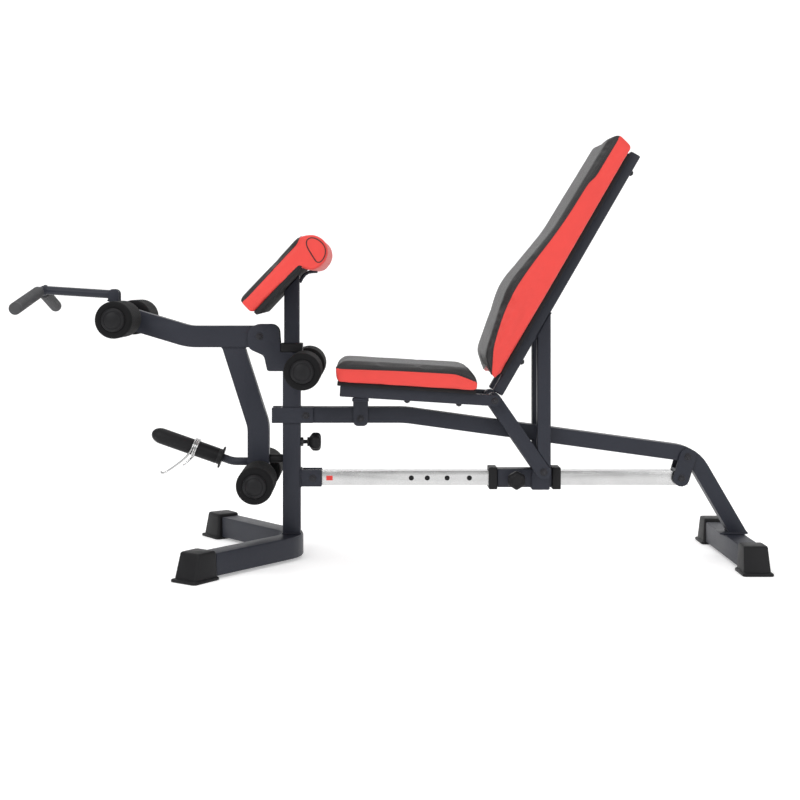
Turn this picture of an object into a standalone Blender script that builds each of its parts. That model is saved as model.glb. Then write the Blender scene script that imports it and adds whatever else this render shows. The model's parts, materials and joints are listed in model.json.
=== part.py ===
"""Adjustable weight bench with a leg lever, a curl handle and a preacher pad.

Metres, +Z up. +X runs to the rear of the bench, +Y to its left side. Lengths along X are
measured from the upright post while the pieces are made; at the end the whole bench is moved
so that the origin lies on the floor under the middle of its length.
"""
import math

import bmesh
import bpy
from mathutils import Matrix, Vector

# Fits
TOUCH = 0.0003            # gap between pieces that touch
SLIDE = 0.0006            # gap on each side of a sliding tube
HINGE = 0.0003            # radial gap of a bolt in its hole

# Upright post and the preacher post inside it
POST_WIDTH = 0.041
POST_WALL = 0.0022
POST_TOP = 0.481
COLLAR_WIDTH = 0.051
COLLAR_HEIGHT = 0.021
INNER_POST_BOTTOM = 0.130
PREACHER_HOLES = 4
PREACHER_HOLE_PITCH = 0.040

# Feet
FOOT_TUBE_WIDTH = 0.050
FOOT_TUBE_HEIGHT = 0.050
FOOT_CLEARANCE = 0.006    # foot tube above the floor
FRONT_FOOT_SPREAD = 0.270
FRONT_FOOT_REACH = 0.194
FRONT_FOOT_BEND = 0.080
REAR_FOOT_X = 1.0335
REAR_FOOT_SPREAD = 0.192
CAP_LENGTH = 0.080
CAP_TOP_WIDTH = 0.058
CAP_BASE_WIDTH = 0.070
CAP_HEIGHT = 0.063

# Main beam
BEAM_WIDTH = 0.040
BEAM_HEIGHT = 0.036
BEAM_Z = 0.334
BEAM_LEVEL_END = 0.265
BEAM_CORNER = (REAR_FOOT_X - 0.0959, 0.2416)
BEAM_FOOT_ANGLE = math.radians(59.8)
PLATE = 0.005

# Chrome rail and its carriage
RAIL_SIZE = 0.033
RAIL_WALL = 0.002
RAIL_Z = 0.1868
RAIL_FRONT = POST_WIDTH / 2.0 + 0.006    # behind the front bracket's web
RAIL_REAR = BEAM_CORNER[0] - 0.0111
RAIL_HOLE_RADIUS = 0.0059
CARRIAGE_FRONT = 0.4606
CARRIAGE_LENGTH = 0.168
BUSHING_LENGTH = 0.020
SLEEVE_WALL = 0.004
CARRIAGE_PIN_X = 0.5217

# Recline linkage: seat pivot, backrest pivot and carriage pivot
SEAT_PIVOT = (0.1614, 0.3264)
BACK_PIVOT = (0.4688, 0.3732)
CARRIAGE_PIVOT = (0.5837, 0.2068)
SEAT_SLOPE = math.radians(3.6)
BACK_ANGLE = math.radians(60.0)
PAD_RAIL = 0.025          # square tube under both pads
PAD_RAIL_Y = 0.052        # from the middle of the bench to the middle of each rail
LINK_RADIUS = 0.0165
BACK_POST_WIDTH = 0.031
BACK_LENGTH = 0.655
SEAT_RAIL_FRONT = 0.354
BOARD = 0.010
SEAT_WIDTH = 0.270
BACK_WIDTH = 0.270

# Lever
LEVER_PIVOT = (-0.0743, 0.5182)
LEVER_TUBE = 0.050
LEVER_WIDTH = 0.038
LEVER_KNEE = (-0.240, 0.5175)
LEVER_TIP = (-0.430, 0.5745)
LEG_TOP_X = -0.1363
LEG_KNEE = (-0.0778, 0.309)
LEG_BOTTOM = 0.170

# Foam rollers: X and Z of the three axles
LEVER_TOP_ROLLER = (-0.384, 0.5605)
UPRIGHT_ROLLER_Z = 0.446
LEVER_LOW_ROLLER = (-0.0722, 0.193)
ROLLER_RADIUS = 0.0416
ROLLER_LENGTH = 0.140
ROLLER_GAP = 0.062        # from the middle of the bench to a roller's inner end
AXLE_RADIUS = 0.0125
ROLLER_CAP_RADIUS = 0.0265

# Curl handle
CURL_PIVOT = (-0.417, 0.6157)
CURL_TUBE_RADIUS = 0.010
CURL_TAIL = 0.010         # bar behind its pivot
CURL_BEND = (-0.588, 0.6265)
CURL_GRIP_END = (-0.600, 0.200, 0.586)
GRIP_RADIUS = 0.0142

# Plate holder and spring clip
HOLDER_Z = 0.224
HOLDER_BEND_X = -0.138
HOLDER_ANGLE = math.radians(19.4)
HOLDER_ROD_RADIUS = 0.0095
SLEEVE_START = 0.0265     # along the holder's slope, from its bend
SLEEVE_LENGTH = 0.176
SLEEVE_RADIUS = 0.0185
FLANGE_RADIUS = 0.026
CLIP_OFFSET = 0.062       # along the sleeve, from its flange to the clip's first coil
CLIP_WIRE_RADIUS = 0.0018
CLIP_TURNS = 3

# Preacher pad
PREACHER_ROLL = (0.055, 0.714)
PREACHER_ROLL_RADIUS = 0.0384
PREACHER_SLOPE = math.radians(47.0)
PREACHER_LENGTH = 0.196
PREACHER_THICKNESS = 0.036
PREACHER_WIDTH = 0.400

# Pull knobs
KNOB_Z = 0.270
KNOB_RADIUS = 0.0215
PIN_RADIUS = 0.004

FRAME_GREY = (0.030, 0.031, 0.042, 1.0)
PAD_RED = (0.80, 0.055, 0.045, 1.0)
BLACK = (0.012, 0.012, 0.013, 1.0)
CAP_GREY = (0.035, 0.035, 0.036, 1.0)
STEEL = (0.62, 0.62, 0.64, 1.0)

FINISHES = {
    "powder_coat": (FRAME_GREY, 0.45, 0.3),
    "chrome": (STEEL, 0.15, 1.0),
    "red_vinyl": (PAD_RED, 0.45, 0.0),
    "black_foam": (BLACK, 0.9, 0.0),
    "black_plastic": (CAP_GREY, 0.5, 0.0),
    "zinc": (STEEL, 0.35, 1.0),
    "plywood": (BLACK, 0.8, 0.0),
}

parts = bpy.data.collections.new("adjustable_weight_bench")
cutters = bpy.data.collections.new("cutters")


# Materials and objects

def finish(name):
    """A Principled material for one finish, made once."""
    material = bpy.data.materials.get(name)
    if material is None:
        colour, roughness, metallic = FINISHES[name]
        material = bpy.data.materials.new(name)
        material.use_nodes = True
        shader = material.node_tree.nodes["Principled BSDF"]
        shader.inputs["Base Color"].default_value = colour
        shader.inputs["Roughness"].default_value = roughness
        shader.inputs["Metallic"].default_value = metallic
        material.diffuse_color = colour
    return material


def add(name, data, finish_name, collection=None):
    """A new object in the bench's collection."""
    obj = bpy.data.objects.new(name, data)
    data.materials.append(finish(finish_name))
    (collection or parts).objects.link(obj)
    return obj


def mesh_from(bm, name):
    """A mesh data block from a bmesh."""
    mesh = bpy.data.meshes.new(name)
    bm.to_mesh(mesh)
    bm.free()
    return mesh


# Outlines in the XZ plane

def arc(centre, radius, start, end, steps=8):
    """Points along an arc; angles in radians from +X towards +Z."""
    angles = [start + (end - start) * i / steps for i in range(steps + 1)]
    return [(centre[0] + radius * math.cos(a), centre[1] + radius * math.sin(a)) for a in angles]


def circle(centre, radius, steps=12):
    """A ring of points for a round hole, whose flats lie on its radius."""
    return arc(centre, radius / math.cos(math.pi / steps), 0.0, 2.0 * math.pi, steps)[:-1]


def capsule(start, end, radius, steps=8):
    """A long shape with two round ends."""
    heading = math.atan2(end[1] - start[1], end[0] - start[0])
    quarter = math.pi / 2.0
    first = arc(end, radius, heading - quarter, heading + quarter, steps)
    return first + arc(start, radius, heading + quarter, heading + 3.0 * quarter, steps)


def rounded(points, radii, steps=6):
    """A polygon with each corner rounded by its own radius."""
    result = []
    count = len(points)
    for i, radius in enumerate(radii):
        corner = Vector(points[i])
        before = (Vector(points[i - 1]) - corner).normalized()
        after = (Vector(points[(i + 1) % count]) - corner).normalized()
        half = before.angle(after) / 2.0
        if radius <= 0.0 or half > 1.56:
            result.append(tuple(corner))
            continue
        centre = corner + (before + after).normalized() * (radius / math.sin(half))
        reach = radius / math.tan(half)
        start = corner + before * reach - centre
        end = corner + after * reach - centre
        first = math.atan2(start.y, start.x)
        turn = (math.atan2(end.y, end.x) - first + math.pi) % (2.0 * math.pi) - math.pi
        result += arc(centre, radius, first, first + turn, steps)
    return result


def offset_line(points, distance):
    """An open line moved sideways, to the left of its heading."""
    vectors = [Vector(p) for p in points]
    moved = []
    for i, point in enumerate(vectors):
        sides = []
        if i > 0:
            sides.append((point - vectors[i - 1]).normalized())
        if i < len(vectors) - 1:
            sides.append((vectors[i + 1] - point).normalized())
        normals = [Vector((-s.y, s.x)) for s in sides]
        mitre = sum(normals, Vector((0.0, 0.0))).normalized()
        moved.append(tuple(point + mitre * (distance / mitre.dot(normals[0]))))
    return moved


def cut_level(line, height):
    """The last point of a line, slid along its last stretch to a height."""
    before, last = Vector(line[-2]), Vector(line[-1])
    line[-1] = tuple(before + (last - before) * ((height - before.y) / (last.y - before.y)))


def band(points, width, bends, start_height=None, end_height=None):
    """Outline of a tube that follows an open line, with a bend radius at each inner point.

    An end with a height is cut level at that height."""
    left = offset_line(points, width / 2.0)
    right = offset_line(points, -width / 2.0)
    for line in (left, right):
        if end_height is not None:
            cut_level(line, end_height)
        if start_height is not None:
            line.reverse()
            cut_level(line, start_height)
            line.reverse()
    left_radii = [0.0]
    right_radii = [0.0]
    for i, bend in enumerate(bends, start=1):
        ahead = Vector(points[i + 1]) - Vector(points[i])
        behind = Vector(points[i]) - Vector(points[i - 1])
        side = math.copysign(width / 2.0, behind.x * ahead.y - behind.y * ahead.x)
        left_radii.append(bend - side)
        right_radii.append(bend + side)
    left_radii.append(0.0)
    right_radii.append(0.0)
    return rounded(left + right[::-1], left_radii + right_radii[::-1])


# Solids

def plate(name, outline, y_low, y_high, finish_name, holes=()):
    """A flat piece: an outline in XZ, thick along Y, with holes through it."""
    curve = bpy.data.curves.new(name, "CURVE")
    curve.dimensions = "2D"
    curve.fill_mode = "BOTH"
    curve.extrude = (y_high - y_low) / 2.0
    for ring in (outline, *holes):
        spline = curve.splines.new("POLY")
        spline.points.add(len(ring) - 1)
        for point, (x, z) in zip(spline.points, ring):
            point.co = (x, z, 0.0, 1.0)
        spline.use_cyclic_u = True
    obj = add(name, curve, finish_name)
    obj.rotation_euler = (math.pi / 2.0, 0.0, 0.0)
    obj.location.y = (y_low + y_high) / 2.0
    return obj


def box(name, low, high, finish_name, collection=None):
    """A block between two corners, with its origin at its middle."""
    bm = bmesh.new()
    bmesh.ops.create_cube(bm, size=1.0)
    size = [b - a for a, b in zip(low, high)]
    bmesh.ops.scale(bm, vec=size, verts=bm.verts)
    obj = add(name, mesh_from(bm, name), finish_name, collection)
    obj.location = [(a + b) / 2.0 for a, b in zip(low, high)]
    return obj


def rod(name, start, end, radius, finish_name, segments=20, collection=None):
    """A round bar between two points."""
    span = Vector(end) - Vector(start)
    bm = bmesh.new()
    bmesh.ops.create_cone(bm, cap_ends=True, segments=segments, radius1=radius, radius2=radius,
                          depth=span.length)
    obj = add(name, mesh_from(bm, name), finish_name, collection)
    obj.location = (Vector(start) + Vector(end)) / 2.0
    obj.rotation_euler = span.to_track_quat("Z", "Y").to_euler()
    obj.data.shade_smooth()
    obj.data.set_sharp_from_angle(angle=math.radians(40.0))
    return obj


def turned(name, profile, origin, direction, finish_name, ring=False, steps=24):
    """A turned piece: (radius, height) points that run down its outer side.

    A ring's profile goes on up its bore and closes."""
    mesh = bpy.data.meshes.new(name)
    edges = [(i, i + 1) for i in range(len(profile) - 1)]
    if ring:
        edges.append((len(profile) - 1, 0))
    mesh.from_pydata([(r, 0.0, h) for r, h in profile], edges, [])
    obj = add(name, mesh, finish_name)
    obj.location = origin
    obj.rotation_euler = Vector(direction).to_track_quat("Z", "Y").to_euler()
    screw = obj.modifiers.new("Turn", "SCREW")
    screw.steps = steps
    screw.render_steps = steps
    screw.use_merge_vertices = True
    screw.merge_threshold = 0.00001
    return obj


def wire(name, points, radius, finish_name, resolution=2):
    """A round wire or tube along a list of points."""
    curve = bpy.data.curves.new(name, "CURVE")
    curve.dimensions = "3D"
    curve.bevel_depth = radius
    curve.bevel_resolution = resolution
    curve.use_fill_caps = True
    spline = curve.splines.new("POLY")
    spline.points.add(len(points) - 1)
    for point, co in zip(spline.points, points):
        point.co = (*co, 1.0)
    return add(name, curve, finish_name)


def as_mesh(obj):
    """The same piece as a mesh, so that it can be cut."""
    bpy.context.view_layer.update()
    evaluated = obj.evaluated_get(bpy.context.evaluated_depsgraph_get())
    mesh = bpy.data.meshes.new_from_object(evaluated)
    bm = bmesh.new()
    bm.from_mesh(mesh)
    bmesh.ops.remove_doubles(bm, verts=bm.verts, dist=0.00001)
    bm.to_mesh(mesh)
    bm.free()
    name, place, collection = obj.name, obj.matrix_world.copy(), obj.users_collection[0]
    bpy.data.objects.remove(obj)
    solid = bpy.data.objects.new(name, mesh)
    solid.matrix_world = place
    collection.objects.link(solid)
    return solid


def boolean(obj, cutter, operation="DIFFERENCE"):
    """A Boolean modifier; its cutter stays hidden."""
    cutter.hide_render = True
    cutter.display_type = "WIRE"
    modifier = obj.modifiers.new(cutter.name, "BOOLEAN")
    modifier.operation = operation
    modifier.object = cutter


def drill(obj, start, end, radius):
    """A round hole between two points."""
    name = f"{obj.name}_hole_{len(obj.modifiers)}"
    flats = radius / math.cos(math.pi / 12.0)
    boolean(obj, rod(name, start, end, flats, "zinc", segments=12, collection=cutters))


def hollow(obj, low, high):
    """A square bore between two corners."""
    boolean(obj, box(f"{obj.name}_bore_{len(obj.modifiers)}", low, high, "zinc", cutters))


def bolt(name, x, z, reach, radius=0.0045, head_radius=0.0085, head=0.0055, sides=6):
    """A bolt along Y through the middle of the bench, with a head and a nut.

    reach is the distance from the middle to the face that the head lies on."""
    seat = reach + TOUCH
    profile = [(0.0, seat + head), (head_radius, seat + head), (head_radius, seat), (radius, seat),
               (radius, -seat), (head_radius, -seat), (head_radius, -seat - head),
               (0.0, -seat - head)]
    return turned(name, profile, (x, 0.0, z), (0.0, 1.0, 0.0), "zinc", steps=sides * 2)


def sides():
    """The two sides of the bench: name and sign of Y."""
    return (("near", -1.0), ("far", 1.0))


def span_y(side, inner, outer):
    """Low and high Y of a piece on one side."""
    return (inner, outer) if side > 0.0 else (-outer, -inner)


def slope_point(origin, angle, along, across):
    """A point in a sloping frame: along its heading and to the left of it."""
    x = origin[0] + along * math.cos(angle) - across * math.sin(angle)
    z = origin[1] + along * math.sin(angle) + across * math.cos(angle)
    return (x, z)


def slab(name, outline, z_low, z_high, finish_name):
    """A level piece: an outline in XY, thick along Z."""
    obj = plate(name, outline, z_low, z_high, finish_name)
    obj.rotation_euler = (0.0, 0.0, 0.0)
    obj.location = (0.0, 0.0, (z_low + z_high) / 2.0)
    return obj


# The recline linkage

def turn_down(vector, angle):
    """A vector in XZ turned about +Y, which lowers its rear end."""
    x, z = vector
    return (x * math.cos(angle) + z * math.sin(angle), z * math.cos(angle) - x * math.sin(angle))


def carriage_pivot_at(seat_tilt, recline):
    """Where the carriage pivot lies for a seat tilt and a backrest recline."""
    seat = turn_down((BACK_PIVOT[0] - SEAT_PIVOT[0], BACK_PIVOT[1] - SEAT_PIVOT[1]), seat_tilt)
    link = turn_down((CARRIAGE_PIVOT[0] - BACK_PIVOT[0], CARRIAGE_PIVOT[1] - BACK_PIVOT[1]), recline)
    return (SEAT_PIVOT[0] + seat[0] + link[0], SEAT_PIVOT[1] + seat[1] + link[1])


def linkage(recline):
    """Seat tilt and carriage travel that keep the carriage pivot level with the rail."""
    low, high = math.radians(-20.0), math.radians(20.0)
    for _ in range(50):
        middle = (low + high) / 2.0
        if carriage_pivot_at(middle, recline)[1] > CARRIAGE_PIVOT[1]:
            low = middle
        else:
            high = middle
    return middle, CARRIAGE_PIVOT[0] - carriage_pivot_at(middle, recline)[0]


def seat_point(along, up):
    """A point in the seat's frame: forward from the backrest pivot, and up from its rails."""
    return slope_point(BACK_PIVOT, math.pi - SEAT_SLOPE, along, -up)


def back_point(along, up):
    """A point in the backrest's frame: up its rails, and out towards the pad."""
    return slope_point(BACK_PIVOT, BACK_ANGLE, along, up)


def preacher_point(along, out):
    """A point in the preacher pad's frame, from the middle of its roll."""
    return slope_point(PREACHER_ROLL, PREACHER_SLOPE, along, out)


HALF_POST = POST_WIDTH / 2.0
HALF_INNER = HALF_POST - POST_WALL - SLIDE
HALF_BEAM = BEAM_WIDTH / 2.0
HALF_RAIL = RAIL_SIZE / 2.0
SLEEVE_INNER = HALF_RAIL + SLIDE
SLEEVE_OUTER = SLEEVE_INNER + SLEEVE_WALL
CHEEK = max(HALF_POST, HALF_BEAM) + TOUCH         # inner face of plates that straddle post or beam
BACK_INNER = PAD_RAIL_Y - PAD_RAIL / 2.0
BACK_OUTER = PAD_RAIL_Y + PAD_RAIL / 2.0
SEAT_INNER = BACK_OUTER + TOUCH
SEAT_OUTER = SEAT_INNER + PAD_RAIL
UPRIGHT_ROLLER = (HALF_POST + TOUCH + AXLE_RADIUS, UPRIGHT_ROLLER_Z)
FOOT_TOP = FOOT_CLEARANCE + FOOT_TUBE_HEIGHT
BOLT_RADIUS = 0.0045
BACK_STOPS = [math.radians(angle) for angle in (0.0, 15.0, 30.0, 45.0, 60.0, 74.0)]


# Sub-assemblies; each returns the objects that move together

def foot_cap(name, middle, heading, length):
    """A tapered plastic foot on the end of a foot tube."""
    bm = bmesh.new()
    bmesh.ops.create_cube(bm, size=1.0)
    bmesh.ops.scale(bm, vec=(length, CAP_BASE_WIDTH, CAP_HEIGHT), verts=bm.verts)
    taper = CAP_TOP_WIDTH / CAP_BASE_WIDTH
    for vert in bm.verts:
        if vert.co.z > 0.0:
            vert.co.y *= taper
            vert.co.x *= 1.0 - (CAP_BASE_WIDTH - CAP_TOP_WIDTH) / length
    obj = add(name, mesh_from(bm, name), "black_plastic")
    obj.location = (middle[0], middle[1], CAP_HEIGHT / 2.0)
    obj.rotation_euler.z = heading
    return obj


def feet():
    """The bent front foot, the straight rear foot and their four caps."""
    apex = Vector((FOOT_TUBE_WIDTH / 2.0, 0.0))
    made = []
    ends = []
    for side, sign in sides():
        middle = Vector((-FRONT_FOOT_REACH, sign * FRONT_FOOT_SPREAD))
        inward = (apex - middle).normalized()
        ends.append(tuple(middle + inward * (CAP_LENGTH / 2.0 + TOUCH)))
        heading = math.atan2(inward.y, inward.x)
        made.append(foot_cap(f"front_foot_cap_{side}", middle, heading, CAP_LENGTH))
    outline = band([ends[0], tuple(apex), ends[1]], FOOT_TUBE_WIDTH, [FRONT_FOOT_BEND])
    made.append(slab("front_foot_tube", outline, FOOT_CLEARANCE, FOOT_TOP, "powder_coat"))
    tube_end = REAR_FOOT_SPREAD - CAP_LENGTH / 2.0 - TOUCH
    half = FOOT_TUBE_WIDTH / 2.0
    made.append(box("rear_foot_tube", (REAR_FOOT_X - half, -tube_end, FOOT_CLEARANCE),
                    (REAR_FOOT_X + half, tube_end, FOOT_TOP), "powder_coat"))
    for side, sign in sides():
        middle = (REAR_FOOT_X, sign * REAR_FOOT_SPREAD)
        made.append(foot_cap(f"rear_foot_cap_{side}", middle, math.pi / 2.0, CAP_LENGTH))
    return made


def upright():
    """The square upright post with its collar and the lever's hanger bracket."""
    post = box("upright_post", (-HALF_POST, -HALF_POST, FOOT_TOP + TOUCH),
               (HALF_POST, HALF_POST, POST_TOP), "powder_coat")
    bore = HALF_INNER + SLIDE
    hollow(post, (-bore, -bore, 0.0), (bore, bore, POST_TOP + 0.1))
    drill(post, (0.0, 0.0, KNOB_Z), (POST_WIDTH, 0.0, KNOB_Z), PIN_RADIUS + HINGE)
    half = COLLAR_WIDTH / 2.0
    collar = box("post_collar", (-half, -half, POST_TOP + TOUCH),
                 (half, half, POST_TOP + COLLAR_HEIGHT), "black_plastic")
    hollow(collar, (-bore, -bore, POST_TOP - 0.1), (bore, bore, POST_TOP + 0.1))
    x, z = LEVER_PIVOT
    outline = rounded([(x - 0.028, z + 0.028), (x - 0.028, z - 0.028), (x + 0.010, z - 0.045),
                       (x + 0.018, 0.437), (HALF_POST - 0.006, 0.437), (HALF_POST - 0.006, 0.475),
                       (-0.026, 0.492), (-0.030, z + 0.028)],
                      [0.027, 0.020, 0.015, 0.006, 0.003, 0.003, 0.010, 0.020])
    cheek = CHEEK + PLATE
    hanger = as_mesh(plate("lever_hanger", outline, -cheek, cheek, "powder_coat",
                           [circle(LEVER_PIVOT, BOLT_RADIUS + HINGE)]))
    hollow(hanger, (-HALF_POST - TOUCH, -CHEEK, 0.3), (0.1, CHEEK, 0.6))
    hollow(hanger, (-0.2, -CHEEK, 0.3), (-HALF_POST - TOUCH - PLATE, CHEEK, 0.6))
    hollow(hanger, (-0.2, -CHEEK, POST_TOP), (0.1, CHEEK, 0.6))
    collar_room = half + TOUCH
    hollow(hanger, (-collar_room, -0.1, POST_TOP), (0.1, 0.1, 0.6))
    return [post, collar, hanger, bolt("lever_pivot_bolt", x, z, cheek)]


def foam(name, axle, sign):
    """A foam roller on its axle."""
    half = ROLLER_LENGTH / 2.0
    bore = AXLE_RADIUS + SLIDE
    edge = 0.006
    profile = [(ROLLER_RADIUS - edge, half), (ROLLER_RADIUS, half - edge),
               (ROLLER_RADIUS, edge - half), (ROLLER_RADIUS - edge, -half), (bore, -half), (bore, half)]
    middle = (axle[0], sign * (ROLLER_GAP + half), axle[1])
    return turned(name, profile, middle, (0.0, 1.0, 0.0), "black_foam", ring=True)


def axle(name, place):
    """A roller axle with the domed cap at each end that keeps the foam on."""
    end = ROLLER_GAP + ROLLER_LENGTH + TOUCH
    cap = ROLLER_CAP_RADIUS
    half = [(0.0, end + 0.011), (cap * 0.62, end + 0.009), (cap * 0.92, end + 0.004), (cap, end),
            (AXLE_RADIUS, end)]
    profile = half + [(r, -h) for r, h in reversed(half)]
    return turned(name, profile, (place[0], 0.0, place[1]), (0.0, 1.0, 0.0), "black_plastic", steps=20)


def main_beam():
    """The beam from the post to the rear foot, with its front bracket."""
    front = (HALF_POST + TOUCH, BEAM_Z)
    reach = (BEAM_CORNER[1] - FOOT_TOP) / math.tan(BEAM_FOOT_ANGLE)
    foot = (BEAM_CORNER[0] + reach, FOOT_TOP)
    outline = band([front, (BEAM_LEVEL_END, BEAM_Z), BEAM_CORNER, foot], BEAM_HEIGHT, [0.25, 0.075],
                   end_height=FOOT_TOP + TOUCH)
    beam = plate("main_beam", outline, -HALF_BEAM, HALF_BEAM, "powder_coat",
                 [circle(SEAT_PIVOT, BOLT_RADIUS + HINGE)])
    half = BEAM_HEIGHT / 2.0
    outer = CHEEK + PLATE
    front_face = -HALF_POST - TOUCH
    bracket = box("beam_bracket", (front_face - 0.025, -outer, BEAM_Z - half),
                  (HALF_POST + 0.030, outer, BEAM_Z + half), "powder_coat")
    hollow(bracket, (front_face, -CHEEK, 0.2), (0.1, CHEEK, 0.5))
    hollow(bracket, (-0.1, -CHEEK, 0.2), (front_face - PLATE, CHEEK, 0.5))
    return [beam, bracket]


def slide_rail():
    """The chrome rail with a hole for each backrest angle, and its two brackets."""
    rail = box("slide_rail", (RAIL_FRONT, -HALF_RAIL, RAIL_Z - HALF_RAIL),
               (RAIL_REAR, HALF_RAIL, RAIL_Z + HALF_RAIL), "chrome")
    bore = HALF_RAIL - RAIL_WALL
    hollow(rail, (0.0, -bore, RAIL_Z - bore), (RAIL_REAR + 0.1, bore, RAIL_Z + bore))
    for stop in BACK_STOPS:
        x = CARRIAGE_PIN_X - linkage(stop)[1]
        drill(rail, (x, -0.1, RAIL_Z), (x, 0.1, RAIL_Z), RAIL_HOLE_RADIUS)
    inner = HALF_RAIL + TOUCH
    outer = inner + PLATE
    half = HALF_RAIL + 0.003
    web = HALF_POST + TOUCH
    front = box("rail_front_bracket", (web, -outer, RAIL_Z - half),
                (RAIL_FRONT + 0.044, outer, RAIL_Z + half), "powder_coat")
    hollow(front, (web + PLATE, -inner, 0.1), (0.2, inner, 0.3))
    bottom = (RAIL_REAR - 0.017, RAIL_Z)
    top = (RAIL_REAR - 0.002, BEAM_CORNER[1] - 0.004)
    outer = CHEEK + PLATE
    rear = as_mesh(plate("rail_rear_bracket", capsule(bottom, top, 0.019), -outer, outer,
                         "powder_coat"))
    web_low = RAIL_Z + HALF_RAIL + TOUCH
    behind = RAIL_REAR + 0.1
    hollow(rear, (RAIL_REAR - 0.1, -CHEEK, 0.1), (behind, CHEEK, web_low))
    hollow(rear, (RAIL_REAR - 0.1, -CHEEK, web_low + PLATE), (behind, CHEEK, 0.4))
    hollow(rear, (RAIL_REAR - 0.006, -CHEEK, 0.1), (behind, CHEEK, 0.4))
    return [rail, front, rear]


def seat():
    """The seat frame, which tips on the main beam, with its board and pad."""
    made = []
    half = PAD_RAIL / 2.0
    hole = circle(BACK_PIVOT, BOLT_RADIUS + HINGE)
    round_end = [seat_point(half * math.sin(a), half * math.cos(a))
                 for a in [-math.pi * i / 8.0 for i in range(9)]]
    outline = round_end + [seat_point(SEAT_RAIL_FRONT, -half), seat_point(SEAT_RAIL_FRONT, half)]
    for side, sign in sides():
        low, high = span_y(sign, SEAT_INNER, SEAT_OUTER)
        made.append(plate(f"seat_rail_{side}", outline, low, high, "powder_coat", [hole]))
    x, z = SEAT_PIVOT
    ear = 0.0175
    under = min(p[1] for p in (seat_point(BACK_PIVOT[0] - x - ear, -half),
                               seat_point(BACK_PIVOT[0] - x + ear, -half))) - 0.001
    outer = CHEEK + PLATE
    outline = rounded([(x - ear, z - ear), (x + ear, z - ear), (x + ear, under), (x - ear, under)],
                      [0.012, 0.012, 0.0, 0.0])
    bracket = as_mesh(plate("seat_front_bracket", outline, -SEAT_OUTER, SEAT_OUTER, "powder_coat",
                            [circle(SEAT_PIVOT, BOLT_RADIUS + HINGE)]))
    flange = under - PLATE
    hollow(bracket, (0.0, -CHEEK, 0.2), (0.4, CHEEK, flange))
    hollow(bracket, (0.0, outer, 0.2), (0.4, 0.2, flange))
    hollow(bracket, (0.0, -0.2, 0.2), (0.4, -outer, flange))
    made.append(bracket)
    made.append(bolt("seat_pivot_bolt", x, z, outer))
    made.append(bolt("back_pivot_bolt", BACK_PIVOT[0], BACK_PIVOT[1], SEAT_OUTER))
    board = half + TOUCH
    ends = (0.045, 0.362)
    outline = [seat_point(ends[0], board), seat_point(ends[1], board),
               seat_point(ends[1], board + BOARD), seat_point(ends[0], board + BOARD)]
    made.append(plate("seat_board", outline, -SEAT_OUTER - 0.015, SEAT_OUTER + 0.015, "plywood"))
    bottom = board + BOARD + TOUCH
    corners = [(0.036, bottom), (0.040, 0.068), (0.376, 0.066), (0.371, bottom)]
    outline = rounded([seat_point(*corner) for corner in corners], [0.006, 0.034, 0.014, 0.006])
    made.append(plate("seat_pad", outline, -SEAT_WIDTH / 2.0, SEAT_WIDTH / 2.0, "red_vinyl"))
    return made


def vertical_cut(x, point, direction):
    """Where a sloping line crosses a vertical one."""
    return (x, point[1] + (x - point[0]) * direction[1] / direction[0])


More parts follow.
